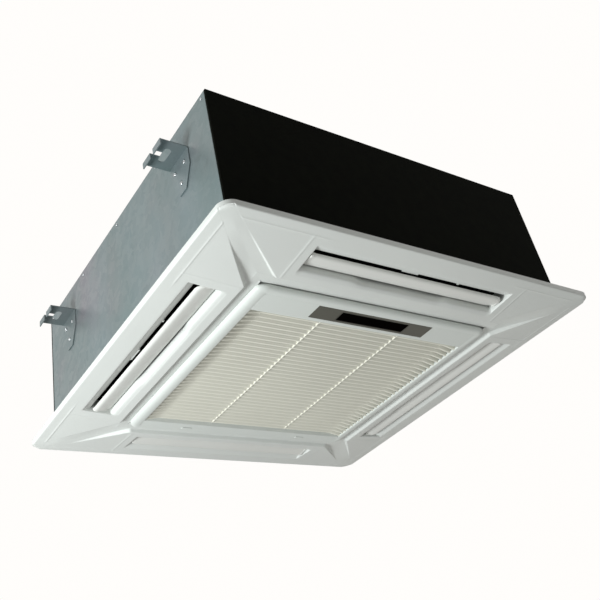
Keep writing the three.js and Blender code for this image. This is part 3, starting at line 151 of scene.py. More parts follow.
def shade(obj, angle):
    for polygon in obj.data.polygons:
        polygon.use_smooth = True
    sharp_limit = math.radians(angle)
    shape = bmesh.new()
    shape.from_mesh(obj.data)
    for edge in shape.edges:
        edge.smooth = len(edge.link_faces) == 2 and edge.calc_face_angle(0.0) < sharp_limit
    shape.to_mesh(obj.data)
    shape.free()


def bevel(obj, width, segments=2, angle=35.0):
    modifier = obj.modifiers.new("edge", "BEVEL")
    modifier.width = width * MM
    modifier.segments = segments
    modifier.limit_method = "ANGLE"
    modifier.angle_limit = math.radians(angle)
    modifier.harden_normals = False
    return modifier


def solidify(obj, thickness, offset):
    modifier = obj.modifiers.new("wall", "SOLIDIFY")
    modifier.thickness = thickness * MM
    modifier.offset = offset
    modifier.use_even_offset = False
    return modifier


def box_points(x0, x1, y0, y1, z0, z1):
    return [(x, y, z) for z in (z0, z1) for y in (y0, y1) for x in (x0, x1)]


BOX_FACES = [(0, 2, 3, 1), (4, 5, 7, 6), (0, 1, 5, 4), (2, 6, 7, 3), (0, 4, 6, 2), (1, 3, 7, 5)]


def boxes(name, extents, material, body, edge=0.6, turns=0):
    """Several bevelled blocks as one object, each (x0, x1, y0, y1, z0, z1), turned by quarters."""
    points, faces = [], []
    for extent in extents:
        start = len(points)
        points += [turn_quarter(p, turns) for p in box_points(*extent)]
        faces += [tuple(start + i for i in face) for face in BOX_FACES]
    obj = make_object(name, points, faces, material, body, merge=0)
    bevel(obj, edge)
    return obj


def loft_faces(rings, count, closed=True, caps=False, start=0):
    faces = []
    for level in range(rings - 1):
        for i in range(count if closed else count - 1):
            a = start + level * count + i
            b = start + level * count + (i + 1) % count
            faces.append((a, b, b + count, a + count))
    if caps:
        faces.append(tuple(start + i for i in reversed(range(count))))
        faces.append(tuple(start + (rings - 1) * count + i for i in range(count)))
    return faces


def lathe(name, profile, centre, axis, material, body, sides=32):
    """Surface of revolution: profile of (radius, along) about an axis through the centre."""
    points = []
    for radius, along in profile:
        for i in range(sides):
            angle = 2 * math.pi * i / sides
            u, v = radius * math.cos(angle), radius * math.sin(angle)
            local = {"x": (along, u, v), "y": (v, along, u), "z": (u, v, along)}[axis]
            points.append(tuple(c + l for c, l in zip(centre, local)))
    faces = loft_faces(len(profile), sides, caps=True)
    return make_object(name, points, faces, material, body, merge=0.001)


# ------------------------------------------------------------------ materials

def new_material(name, slot, colour, roughness, metallic=0.0, specular=0.5):
    material = bpy.data.materials.new(name)
    material.use_nodes = True
    material["slot"] = slot
    shader = material.node_tree.nodes["Principled BSDF"]
    shader.inputs["Base Color"].default_value = (*colour, 1.0)
    shader.inputs["Roughness"].default_value = roughness
    shader.inputs["Metallic"].default_value = metallic
    shader.inputs["Specular IOR Level"].default_value = specular
    return material


def node(material, kind, **settings):
    made = material.node_tree.nodes.new(kind)
    for key, value in settings.items():
        if key in made.inputs:
            made.inputs[key].default_value = value
        else:
            setattr(made, key, value)
    return made


def link(material, source, target):
    material.node_tree.links.new(source, target)


def shader_of(material):
    return material.node_tree.nodes["Principled BSDF"]


def coordinates(material, scale=(1, 1, 1)):
    place = node(material, "ShaderNodeTexCoord")
    mapping = node(material, "ShaderNodeMapping")
    mapping.inputs["Scale"].default_value = scale
    link(material, place.outputs["Object"], mapping.inputs["Vector"])
    return mapping.outputs["Vector"]


def noise(material, scale, detail=4.0, roughness=0.5, stretch=(1, 1, 1)):
    texture = node(material, "ShaderNodeTexNoise", Scale=scale, Detail=detail, Roughness=roughness)
    link(material, coordinates(material, stretch), texture.inputs["Vector"])
    return texture.outputs["Fac"]


def ramp(material, factor, stops):
    made = node(material, "ShaderNodeValToRGB")
    elements = made.color_ramp.elements
    while len(elements) < len(stops):
        elements.new(0.5)
    for element, (position, colour) in zip(elements, stops):
        element.position = position
        element.color = (*colour, 1.0) if len(colour) == 3 else colour
    link(material, factor, made.inputs["Fac"])
    return made.outputs["Color"]


def bump(material, height, strength, distance, previous=None):
    made = node(material, "ShaderNodeBump", Strength=strength, Distance=distance * MM)
    link(material, height, made.inputs["Height"])
    if previous is not None:
        link(material, previous, made.inputs["Normal"])
    return made.outputs["Normal"]


def mix_colour(material, factor, a, b):
    made = node(material, "ShaderNodeMix", data_type="RGBA")
    if isinstance(factor, float):
        made.inputs[0].default_value = factor
    else:
        link(material, factor, made.inputs[0])
    for socket, value in ((made.inputs[6], a), (made.inputs[7], b)):
        if isinstance(value, tuple):
            socket.default_value = (*value, 1.0)
        else:
            link(material, value, socket)
    return made.outputs[2]


def moulded_plastic(name, slot, colour, roughness=0.42, grain=0.10, tint=0.03, specular=0.5):
    """Satin moulded plastic: faint tone drift, fine grain, slight waviness of the moulding."""
    material = new_material(name, slot, colour, roughness, specular=specular)
    shader = shader_of(material)
    low = tuple(c * (1 - tint) for c in colour)
    high = tuple(min(1.0, c * (1 + tint)) for c in colour)
    drift = ramp(material, noise(material, 3.0, 3.0), [(0.3, low), (0.7, high)])
    link(material, drift, shader.inputs["Base Color"])
    rough = node(material, "ShaderNodeMapRange")
    rough.inputs["To Min"].default_value = roughness - 0.05
    rough.inputs["To Max"].default_value = roughness + 0.06
    link(material, noise(material, 28.0, 3.0), rough.inputs["Value"])
    link(material, rough.outputs["Result"], shader.inputs["Roughness"])
    fine = bump(material, noise(material, 1600.0, 2.0), grain, 0.05)
    wavy = bump(material, noise(material, 9.0, 2.0), 0.06, 0.6, fine)
    link(material, wavy, shader.inputs["Normal"])
    return material


def galvanised_steel(name, slot, colour):
    """Zinc-coated sheet: soft spangle, drawn streaks, and broad patches of teal, grey and violet."""
    material = new_material(name, slot, colour, 0.44, metallic=0.5)
    shader = shader_of(material)
    crystals = node(material, "ShaderNodeTexVoronoi", Scale=70.0, Randomness=1.0)
    warp = node(material, "ShaderNodeTexNoise", Scale=30.0, Detail=3.0)
    place = coordinates(material)
    link(material, place, warp.inputs["Vector"])
    shift = node(material, "ShaderNodeMix", data_type="VECTOR")
    shift.inputs[0].default_value = 0.05
    link(material, place, shift.inputs[4])
    link(material, warp.outputs["Color"], shift.inputs[5])
    link(material, shift.outputs[1], crystals.inputs["Vector"])
    spangle = node(material, "ShaderNodeSeparateColor")
    link(material, crystals.outputs["Color"], spangle.inputs["Color"])
    teal = tuple(c * f for c, f in zip(colour, (0.82, 0.97, 0.97)))
    violet = tuple(c * f for c, f in zip(colour, (1.34, 1.02, 1.14)))
    pale = tuple(c * f for c, f in zip(colour, (1.18, 1.22, 1.30)))
    light = tuple(c * 1.16 for c in colour)
    dark = tuple(c * 0.86 for c in colour)
    tone = ramp(material, noise(material, 3.6, 3.0, 0.55), [(0.36, teal), (0.50, colour), (0.64, violet)])
    bands = ramp(material, noise(material, 8.0, 3.0, 0.5, (1, 1, 0.22)),
                 [(0.46, (0, 0, 0)), (0.66, (0.55, 0.55, 0.55))])
    grains = ramp(material, spangle.outputs["Red"], [(0.0, dark), (1.0, light)])
    streaks = ramp(material, noise(material, 22.0, 4.0, 0.6, (1, 1, 0.10)), [(0.3, dark), (0.7, light)])
    base = mix_colour(material, bands, tone, pale)
    base = mix_colour(material, 0.22, base, grains)
    base = mix_colour(material, 0.16, base, streaks)
    link(material, base, shader.inputs["Base Color"])
    rough = node(material, "ShaderNodeMapRange")
    rough.inputs["To Min"].default_value = 0.36
    rough.inputs["To Max"].default_value = 0.54
    link(material, spangle.outputs["Green"], rough.inputs["Value"])
    link(material, rough.outputs["Result"], shader.inputs["Roughness"])
    dents = bump(material, noise(material, 6.0, 2.0), 0.10, 1.5)
    link(material, bump(material, spangle.outputs["Blue"], 0.05, 0.05, dents), shader.inputs["Normal"])
    return material


def foam(name, slot, colour, cell=900.0, depth=0.25, specular=0.25):
    material = new_material(name, slot, colour, 0.9, specular=specular)
    shader = shader_of(material)
    low = tuple(c * 0.6 for c in colour)
    high = tuple(c * 1.7 for c in colour)
    tone = ramp(material, noise(material, 40.0, 5.0, 0.6), [(0.3, low), (0.75, high)])
    link(material, tone, shader.inputs["Base Color"])
    cells = node(material, "ShaderNodeTexVoronoi", Scale=cell)
    link(material, coordinates(material), cells.inputs["Vector"])
    pores = bump(material, cells.outputs["Distance"], depth, 0.3)
    link(material, bump(material, noise(material, 12.0, 3.0), 0.15, 1.5, pores), shader.inputs["Normal"])
    return material


def beads(name, slot, colour):
    """Expanded polystyrene: fused beads with fine dark joints."""
    material = new_material(name, slot, colour, 0.85, specular=0.3)
    shader = shader_of(material)
    cells = node(material, "ShaderNodeTexVoronoi", Scale=230.0, feature="DISTANCE_TO_EDGE")
    link(material, coordinates(material), cells.inputs["Vector"])
    dark = tuple(c * 0.7 for c in colour)
    tone = ramp(material, cells.outputs["Distance"], [(0.0, dark), (0.12, colour)])
    link(material, tone, shader.inputs["Base Color"])
    link(material, bump(material, cells.outputs["Distance"], 0.5, 0.6), shader.inputs["Normal"])
    return material


def machined(name, slot, colour, roughness):
    material = new_material(name, slot, colour, roughness, metallic=1.0)
    shader = shader_of(material)
    tone = ramp(material, noise(material, 45.0, 4.0), [(0.3, tuple(c * 0.82 for c in colour)), (0.7, colour)])
    link(material, tone, shader.inputs["Base Color"])
    scratch = noise(material, 60.0, 4.0, 0.6, (1, 1, 14))
    rough = node(material, "ShaderNodeMapRange")
    rough.inputs["To Min"].default_value = roughness - 0.08
    rough.inputs["To Max"].default_value = roughness + 0.14
    link(material, scratch, rough.inputs["Value"])
    link(material, rough.outputs["Result"], shader.inputs["Roughness"])
    link(material, bump(material, scratch, 0.12, 0.05), shader.inputs["Normal"])
    return material


def finned(name, slot, colour):
    """Packed coil fins: fine dark lines of painted shade in the gaps, between the fins' bright edges."""
    material = new_material(name, slot, colour, 0.38, metallic=0.8)
    shader = shader_of(material)
    heights = []
    for direction in ("X", "Y"):
        lines = node(material, "ShaderNodeTexWave", bands_direction=direction, Scale=190.0)
        link(material, coordinates(material), lines.inputs["Vector"])
        heights.append(lines.outputs["Fac"])
    both = node(material, "ShaderNodeMath", operation="MULTIPLY")
    link(material, heights[0], both.inputs[0])
    link(material, heights[1], both.inputs[1])
    # the ramp's dark end paints shade into the gaps between the fins
    tone = ramp(material, both.outputs[0], [(0.0, tuple(c * 0.35 for c in colour)), (0.8, colour)])
    link(material, tone, shader.inputs["Base Color"])
    link(material, bump(material, both.outputs[0], 0.6, 1.0), shader.inputs["Normal"])
    return material


def net(name, slot, colour):
    """Filter net: a fine square weave, with painted shade in the holes between the threads."""
    material = new_material(name, slot, colour, 0.7)
    shader = shader_of(material)
    threads = []
    for direction in ("X", "Y"):
        lines = node(material, "ShaderNodeTexWave", bands_direction=direction, Scale=260.0)
        link(material, coordinates(material), lines.inputs["Vector"])
        threads.append(lines.outputs["Fac"])
    both = node(material, "ShaderNodeMath", operation="MAXIMUM")
    link(material, threads[0], both.inputs[0])
    link(material, threads[1], both.inputs[1])
    # the ramp's dark end paints the shade seen through the weave's holes
    tone = ramp(material, both.outputs[0], [(0.3, tuple(c * 0.3 for c in colour)), (0.9, colour)])
    link(material, tone, shader.inputs["Base Color"])
    link(material, bump(material, both.outputs[0], 0.5, 0.4), shader.inputs["Normal"])
    return material


PANEL_WHITE = moulded_plastic("panel_white", "white_plastic", (0.655, 0.68, 0.65), 0.42)
GRILLE_WHITE = moulded_plastic("grille_white", "white_plastic", (0.645, 0.68, 0.645), 0.46)
SLAT_CREAM = moulded_plastic("slat_cream", "white_plastic", (0.74, 0.735, 0.64), 0.48)
BLADE_WHITE = moulded_plastic("blade_white", "white_plastic", (0.68, 0.69, 0.655), 0.36)
GREY_MOULD = moulded_plastic("grey_mould", "grey_plastic", (0.26, 0.27, 0.26), 0.5)
BLACK_MOULD = moulded_plastic("black_mould", "black_plastic", (0.012, 0.012, 0.013), 0.45)
BEZEL = moulded_plastic("smoked_bezel", "bezel_plastic", (0.082, 0.082, 0.066), 0.4, tint=0.12, specular=0.3)
WINDOW = moulded_plastic("black_window", "window_plastic", (0.0018, 0.0015, 0.0012), 0.6, grain=0.0,
                         specular=0.0)
ZINC = galvanised_steel("zinc_sheet", "galvanised", (0.172, 0.206, 0.208))
BLACK_FOAM = foam("black_foam", "black_foam", (0.0026, 0.003, 0.0018), specular=0.04)
CHARCOAL_BEADS = beads("charcoal_beads", "polystyrene", (0.018, 0.018, 0.019))
FINS = finned("coil_fins", "fins", (0.48, 0.55, 0.58))
COPPER = machined("drawn_copper", "copper", (0.62, 0.27, 0.14), 0.32)
BRASS = machined("turned_brass", "brass", (0.58, 0.42, 0.16), 0.3)
STEEL = machined("turned_steel", "steel", (0.52, 0.54, 0.55), 0.28)
RUBBER = foam("black_rubber", "rubber", (0.011, 0.011, 0.011), 400.0, 0.08)
MOTOR_PAINT = moulded_plastic("motor_paint", "motor_paint", (0.035, 0.041, 0.045), 0.4)
BOARD = moulded_plastic("board_green", "circuit_board", (0.022, 0.13, 0.05), 0.45, tint=0.2)
NET = net("filter_net", "filter", (0.44, 0.42, 0.36))


def dress(material, *names, edge=0.0, angle=35.0):
    """Gives CAD nodes their material, and softens their edges."""
    for name in names:
        obj = frame["nodes"][name]
        obj.data.materials.clear()
        obj.data.materials.append(material)
        if edge:
            bevel(obj, edge, 2, angle)


# ------------------------------------------------------------------ panel

def face_height(distance):
    """Underside of the four sloping faces at a distance from the centre line."""
    return RIM_LOW - (RIM_START - distance) * SLOPE


def crease_middle(distance):
    return distance - 37.0 + (distance - 348.0) * 0.136


def crease_width(distance):
    return mix(CREASE_WIDE, CREASE_NARROW, clamp((distance - GROOVE_OUTER) / (KITE_END - GROOVE_OUTER)))


def rim_height(distance):
    """Face, then the rim's rounding out to the vertical edge."""
    if distance <= RIM_START:
        return face_height(distance)
    share = (distance - RIM_START) / (PANEL_HALF - RIM_START)
    return RIM_LOW + RIM_ROUND * (1 - math.sqrt(max(0.0, 1 - share ** 2)))


def bead(distance, along):
    """Thin raised line inside the rim, round each corner."""
    start = smooth((along - 232.0) / 25.0)
    across = (distance - 451.5) / 1.8
    return -0.65 * start * math.exp(-across * across)


def end_line(distance, along):
    """Thin raised line across each face beside the slots' ends."""
    across = (along - 279.0) / 1.6
    inside = smooth((458.0 - distance) / 12.0) * smooth((distance - GROOVE_OUTER) / 6.0)
    return -0.85 * inside * math.exp(-across * across)


def panel_height(distance, along):
    along = abs(along)
    plateau = rim_height(distance) + bead(distance, along) + end_line(distance, along)
    rounding = 10.0
    soft = (distance + along) / 2 + math.sqrt((distance - along) ** 2 + rounding ** 2) / 2
    soft = min(soft, distance + 2.5)
    fade = 1 - smooth((distance - GROOVE_FLOOR) / (KITE_END - GROOVE_FLOOR))
    kite = rim_height(min(soft, PANEL_HALF)) + (GROOVE_Z - 0.8 - face_height(GROOVE_FLOOR)) * fade
    floor = kite if distance > GROOVE_FLOOR else GROOVE_Z - 0.8 * smooth((distance - 300.0) / 22.0)
    width = crease_width(distance)
    edge = crease_middle(distance) - width / 2
    outside = max((GROOVE_OUTER - distance) / (GROOVE_OUTER - GROOVE_FLOOR), (along - edge) / width)
    return mix(plateau, floor, smooth(outside))


def rim_point(along, distance):
    """Place on a ring of the panel: straight, then round the corner."""
    radius = max(0.0, RIM_CORNER - 0.55 * (PANEL_HALF - distance))
    straight = distance - radius
    if along <= straight or radius < 1e-6:
        return (along, distance)
    angle = (along - straight) / radius * math.pi / 4
    return (straight + radius * math.sin(angle), straight + radius * math.cos(angle))


def steps(low, high, count):
    return [low + (high - low) * i / count for i in range(count + 1)]


def slot_columns():
    inner = [0, 30, 60, 85, 95, 102, 109, 116, 123, 130, 140, 165, 190, 215, 235, 246, 248.5, 251, 253,
             254.8, 256.3, 257.3, SLOT_HALF]
    return [-c for c in reversed(inner[1:])] + inner


def slot_rows():
    return [SLOT_IN, 348.7, 349.7, 351.2, 353, 355, 357.5, 360, 366, 373, 380, 388, 396, 404, 412, 420, 426,
            428, SLOT_OUT]


def end_columns(distance):
    """Lines from the slot's end to the corner's diagonal, bent along the crease."""
    width = crease_width(distance)
    edge = max(SLOT_HALF + 8, crease_middle(distance) - width / 2)
    start = min(287.0, edge - 2.0)
    lines = [262, 267, 272, 275, 277, 278, 279, 280, 281, 283]
    lines = [min(line, mix(SLOT_HALF, start, (i + 1) / 11)) for i, line in enumerate(lines)]
    lines += [start, edge - 0.8, edge]
    lines += [edge + width * share for share in (0.12, 0.3, 0.5, 0.7, 0.88, 1.0)]
    low = edge + width
    lines += [mix(low, distance, share) for share in (0.08, 0.2, 0.35, 0.5, 0.65, 0.8, 0.9, 1.0)]
    return lines


def panel_skin():
    rows = [300, 302, 305, 309, 313, 317, 320, 322, 323, 324.2, 325.4, 326.5, 327.6, 328.8, 330, 331.2, 334,
            338, 343]
    rows += slot_rows()
    rows += [434, 438, 443, 447, 449, 450, 451, 452, 453, 454, 456, 459, 463, 467, 470, RIM_START, 472.4,
             473.2, 473.9, 474.5, 474.85, PANEL_HALF]
    middle = slot_columns()
    points, faces = [], []
    for k in range(4):
        grid = []
        for distance in rows:
            ends = end_columns(distance)
            columns = [-c for c in reversed(ends)] + middle + ends
            line = []
            for along in columns:
                x, y = rim_point(abs(along), distance)
                x = math.copysign(x, along) if along else 0.0
                line.append(len(points))
                points.append(turn_quarter((x, -y, panel_height(distance, along)), k))
            grid.append(line)
        last = []
        for along in columns:
            x, y = rim_point(abs(along), PANEL_HALF)
            x = math.copysign(x, along) if along else 0.0
            last.append(len(points))
            points.append(turn_quarter((x, -y, 0.0), k))
        grid.append(last)
        for r in range(len(grid) - 1):
            for c in range(len(grid[0]) - 1):
                in_slot = r + 1 < len(rows) and SLOT_IN <= rows[r] < SLOT_OUT
                if in_slot and abs(columns[c]) <= SLOT_HALF and abs(columns[c + 1]) <= SLOT_HALF:
                    continue
                faces.append((grid[r][c], grid[r][c + 1], grid[r + 1][c + 1], grid[r + 1][c]))
        add_slot(points, faces, k)
    skin = make_object("panel_skin", points, faces, PANEL_WHITE, "unit", smooth_angle=50.0)
    solidify(skin, SKIN, -1.0)
    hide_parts("panel_frame")
    return skin


def finger_relief(along):
    return 4.5 * smooth((130.0 - abs(along)) / 35.0)


def round_corner(along, distance, radius):
    """Moves a point of the slot's edge onto the rounded inner corner."""
    start = SLOT_HALF - radius
    if radius == 0 or along < start or distance > SLOT_IN + radius:
        return along, distance
    if distance == SLOT_IN:
        angle = (along - start) / radius * QUARTER / 2
    else:
        angle = (1 + (distance - SLOT_IN) / radius) * QUARTER / 2
    return start + radius * math.sin(angle), SLOT_IN + radius - radius * math.cos(angle)


def add_slot(points, faces, k):
    """Walls of an outlet: rounded mouth, slopes to the throat, then straight up."""
    middle = slot_columns()
    rows = slot_rows()
    ring = [(t, SLOT_IN) for t in middle]
    ring += [(SLOT_HALF, d) for d in rows[1:]]
    ring += [(t, SLOT_OUT) for t in reversed(middle[:-1])]
    ring += [(-SLOT_HALF, d) for d in reversed(rows[1:-1])]
    low_in, low_out = face_height(SLOT_IN), face_height(SLOT_OUT)
    levels = [
        (SLOT_HALF, SLOT_IN, SLOT_OUT, low_in, low_out, 0),
        (257.7, 348.5, 429.6, low_in + 0.1, low_out + 0.1, 6),
        (257.3, 349.6, 428.6, low_in + 0.5, low_out + 0.6, 9),
        (256.9, 352.5, 426.6, low_in + 1.1, low_out + 1.5, 9),
        (256.4, 356.8, 418.5, low_in + 2.3, low_out + 5.0, 9),
        (256.0, 359.6, 412.6, low_in + 4.4, low_out + 7.5, 9),
        (255.7, 360.6, 411.2, low_in + 8.0, low_out + 8.5, 9),
        (255.4, 361.2, 410.2, low_in + 12, -5.5, 8),
        (255.2, 361.2, THROAT_OUT, 0.0, -3.0, 6),
        (255.2, THROAT_IN, THROAT_OUT, PANEL_TOP, PANEL_TOP, 4),
    ]
    start = len(points)
    for half, inner, outer, z_in, z_out, radius in levels:
        for along, distance in ring:
            share = (distance - SLOT_IN) / (SLOT_OUT - SLOT_IN)
            t, d = round_corner(abs(along), distance, radius)
            d = mix(inner, outer, (d - SLOT_IN) / (SLOT_OUT - SLOT_IN))
            if distance == SLOT_IN:
                d -= finger_relief(along) * clamp((inner - SLOT_IN) / (THROAT_IN - SLOT_IN))
            t = math.copysign(t * half / SLOT_HALF, along)
            points.append(turn_quarter((t, -d, mix(z_in, z_out, share)), k))
    faces += loft_faces(len(levels), len(ring), start=start)


def panel_structure():
    """Walls and posts behind the skin, where they show from above and through the slots."""
    low, high = -14.5, PANEL_TOP
    for k in range(4):
        boxes(f"opening_wall_{k + 1}", [
            (-303, 303, -303, -300, low, high), (-303, 303, -300, -283, high - 3, high)],
            PANEL_WHITE, "unit", 0.4, k)
        # the louvres' chain of gears is open at the corner between the front and the left
        sides = {0: (1,), 3: (-1,)}.get(k, (-1, 1))
        boxes(f"shaft_posts_{k + 1}", [
            (side * SHAFT_POST - 3, side * SHAFT_POST + 3, -392, -376, -13.4, 5) for side in sides],
            PANEL_WHITE, "unit", 0.5, k)
        boxes(f"louvre_rests_{k + 1}", [
            (-38, 4, -412.5, -408.2, -7.6, 2), (112, 117, -412.5, -408.2, -7.6, 2)],
            PANEL_WHITE, "unit", 0.3, k)
    boxes("motor_post", [(-276, -270, -392, -376, -17.5, 5)], PANEL_WHITE, "unit", 0.5)
    hooks = []
    for x in (-HINGE_X, HINGE_X):
        hooks.append((x - 5, x + 5, -301, -286, -4, -1))
        hooks.append((x - 5, x + 5, -292.4, -287, -21.4, -3))
    boxes("hinge_hooks", hooks, PANEL_WHITE, "unit", 0.8)
    ribs = [(t - 1, t + 1, -466, -436, -10.5, -2) for t in (-230, -120, 0, 120, 230)]
    for k in range(4):
        boxes(f"rim_ribs_{k + 1}", ribs, PANEL_WHITE, "unit", 0.3, k)


# ------------------------------------------------------------------ louvres

BLADE_END = 254.0


def blade_section():
    """Bowed blade: a rolled outer edge, a bright outer facet and a hollow inner face."""
    lower = [(-22.0, -11.2), (-21.8, -12.6), (-20.8, -14.4), (-19.0, -15.8), (-16.5, -16.6),
             (-13.5, -16.7), (-9.0, -16.0), (-4.0, -15.0), (1.0, -13.8), (6.0, -12.4), (11.0, -10.6),
             (15.5, -8.6), (19.0, -6.6), (20.6, -5.6), (20.9, -5.0)]
    upper = [(20.0, -4.4), (15.0, -6.6), (9.0, -9.0), (2.0, -11.2), (-6.0, -13.0), (-12.0, -14.0),
             (-17.0, -13.6), (-20.0, -11.6), (-21.0, -10.6)]
    return lower + upper


def louvre_blade(name, k):
    section = blade_section()
    stations = [-BLADE_END, -BLADE_END + 1.0, -BLADE_END + 2.4] + steps(-240, 230, 10)
    stations += [BLADE_END - 16, BLADE_END - 10, BLADE_END - 5, BLADE_END - 2, BLADE_END - 0.6, BLADE_END]
    points = []
    for x in stations:
        near_end = clamp((x - (BLADE_END - 16)) / 16.0)
        squeeze = math.sqrt(max(0.02, 1 - near_end ** 2)) if near_end > 0 else 1.0
        squeeze = mix(1.0, squeeze, 0.75)
        if x < -BLADE_END + 1.0:
            squeeze = 0.97
        for u, z in section:
            across = u * squeeze
            height = mix(-12.6, z, mix(1.0, squeeze, 0.6))
            points.append(turn_quarter((x, -AXIS_OFFSET + across, height), k))
    faces = loft_faces(len(stations), len(section), caps=True)
    blade = make_object(name, points, faces, BLADE_WHITE, f"{name}_body", smooth_angle=42.0)
    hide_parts(name)
    for side in (-1, 1):
        louvre_arm(name, side, k)
    louvre_cap(name, k)
    return blade


def louvre_cap(name, k):
    """Slightly proud cap on the blade's near end."""
    section = blade_section()
    middle = -13.4
    stations = [(-BLADE_END - 0.2, 1.0), (-BLADE_END + 0.3, 1.035), (-BLADE_END + 6.6, 1.035),
                (-BLADE_END + 7.2, 1.0)]
    points = []
    for x, grow in stations:
        for u, z in section:
            across = u * (1 + (grow - 1) * 0.6)
            height = middle + (z - middle) * (1 + (grow - 1) * 6)
            points.append(turn_quarter((x, -AXIS_OFFSET + across, height), k))
    faces = loft_faces(len(stations), len(section), caps=True)
    return make_object(f"{name}_cap", points, faces, BLADE_WHITE, f"{name}_body", smooth_angle=35.0)


def louvre_arm(name, side, k):
    """End plate of the blade with its stub on the axis."""
    x0 = side * (BLADE_END - 1.0)
    x1 = side * (BLADE_END - 4.0)
    outline = [(-16.0, -12.5), (-8.0, -15.0), (2.0, -15.0), (12.0, -13.0), (9.0, -7.0), (4.5, -1.5)]
    outline += [(4.2 * math.cos(a), AXIS_Z + 4.2 * math.sin(a))
                for a in steps(math.radians(20), math.radians(160), 6)]
    outline += [(-4.5, -1.5), (-10.0, -7.0)]
    points = [turn_quarter((x, -AXIS_OFFSET + u, z), k) for x in (x0, x1) for u, z in outline]
    count = len(outline)
    faces = [tuple(range(count)), tuple(reversed(range(count, 2 * count)))]
    faces += [(i, (i + 1) % count, (i + 1) % count + count, i + count) for i in range(count)]
    end = "far" if side > 0 else "near"
    arm = make_object(f"{name}_arm_{end}", points, faces, BLADE_WHITE, f"{name}_body", merge=0)
    bevel(arm, 0.5)
    profile = [(0.4, 0), (3.6, 0), (4.0, 0.5), (4.0, 13.2), (3.6, 14.0), (0.4, 14.0)]
    start = BLADE_END if side > 0 else -BLADE_END
    centre = turn_quarter((start, -AXIS_OFFSET, AXIS_Z), k)
    axis = "x" if k % 2 == 0 else "y"
    sign = side * (1 if k in (0, 1) else -1)
    stub = lathe(f"{name}_stub_{end}", [(r, sign * a) for r, a in profile], centre, axis, BLADE_WHITE,
                 f"{name}_body", 20)
    return arm, stub


# ------------------------------------------------------------------ return grille

FIELD_FRONT = -226.0
FIELD_REAR = 260.0
FIELD_X = 281.0
FLOOR_X = 245.0
FACE_Z = -26.6
LIP_HALF = 304.0              # the ridge laps over the gap round the grille
LIP_FRONT_START = 286.0
LIP_FRONT_SHARE = 0.73        # less lap at the hinge, where the edge swings up
SLATS = 32
SLAT_TOP = -11.9
DIVIDER_X = 105.0


def ring_square(half, radius, z):
    points = []
    for corner in range(4):
        for angle in steps(0, QUARTER, 7):
            x = half - radius + radius * math.cos(angle)
            y = half - radius + radius * math.sin(angle)
            points.append(turn_quarter((x, y, z), corner))
    return points


def grille_frame():
    """Rounded ridge round the grille, and its side wall."""
    profile = [(GRILLE_HALF + 1, -8.0), (GRILLE_HALF + 1, -14.9), (LIP_HALF - 1, -15.1),
               (LIP_HALF, -15.6), (LIP_HALF, -19.5), (LIP_HALF - 0.5, -20.9), (LIP_HALF - 1.7, -22.5),
               (LIP_HALF - 3.6, -24.0), (LIP_HALF - 6.2, -25.3), (LIP_HALF - 9.2, -26.2),
               (LIP_HALF - 12, -26.5), (LIP_HALF - 15, FACE_Z), (FIELD_X + 0.6, FACE_Z), (FIELD_X, -26.3),
               (280.7, -25.4), (280.4, -22.0)]
    points = []
    for half, z in profile:
        radius = max(4.0, 24.0 - (LIP_HALF - half))
        for x, y, height in ring_square(half, radius, z):
            if y < -LIP_FRONT_START:
                y = -LIP_FRONT_START + (y + LIP_FRONT_START) * LIP_FRONT_SHARE
            points.append((x, y, height))
    count = len(points) // len(profile)
    faces = loft_faces(len(profile), count)
    ridge = make_object("grille_ridge", points, faces, GRILLE_WHITE, "grille", smooth_angle=60.0)
    solidify(ridge, 2.0, -1.0)
    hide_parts("return_grille")


def grille_strips():
    """Flat borders at the display and at the latches, with the slatted field's steep ends."""
    hole_x, hole_y0, hole_y1 = 152.4, -278.4, -235.6
    xs = [-FIELD_X - 0.4, -hole_x, hole_x, FIELD_X + 0.4]
    ys = [-FIELD_X - 0.4, hole_y0, hole_y1, FIELD_FRONT - 0.8]
    points = [(x, y, FACE_Z) for y in ys for x in xs]
    faces = []
    for r in range(3):
        for c in range(3):
            if (r, c) != (1, 1):
                a = r * 4 + c
                faces.append((a, a + 1, a + 5, a + 4))
    start = len(points)
    for y, z in field_edge():
        points += [(x, FIELD_FRONT + y, z) for x in xs]
    faces += loft_faces(len(field_edge()), 4, closed=False, start=start)
    front = make_object("border_front", points, faces, GRILLE_WHITE, "grille", smooth_angle=22)
    solidify(front, 2.0, -1.0)
    slots = [(x - 12.4, x + 12.4) for x in (-LATCH_X, LATCH_X)]
    xs = [-FIELD_X - 0.4, slots[0][0], slots[0][1], slots[1][0], slots[1][1], FIELD_X + 0.4]
    ys = [FIELD_REAR + 0.8, 274.6, FIELD_X + 0.4]
    points = [(x, y, FACE_Z) for y in ys for x in xs]
    faces = []
    for r in range(2):
        for c in range(5):
            if not (r == 1 and c in (1, 3)):
                a = r * 6 + c
                faces.append((a, a + 1, a + 7, a + 6))
    start = len(points)
    for y, z in field_edge():
        points += [(x, FIELD_REAR - y, z) for x in xs]
    faces += loft_faces(len(field_edge()), 6, closed=False, start=start)
    rear = make_object("border_rear", points, faces, GRILLE_WHITE, "grille", smooth_angle=22)
    solidify(rear, 2.0, -1.0)


def field_edge():
    """Rounded drop from a border into the slatted field: distance in, height."""
    return [(-0.8, FACE_Z), (-0.2, FACE_Z + 0.1), (0.4, FACE_Z + 0.5), (0.9, FACE_Z + 1.1),
            (1.3, FACE_Z + 2.0), (5.0, -15.0)]


def field_height(x):
    """Lower face of the slats: a flat floor between gently sloped sides."""
    share = clamp((abs(x) - FLOOR_X) / (FIELD_X - FLOOR_X))
    return mix(-18.2, -25.4, smooth(share) * 0.35 + share * 0.65)


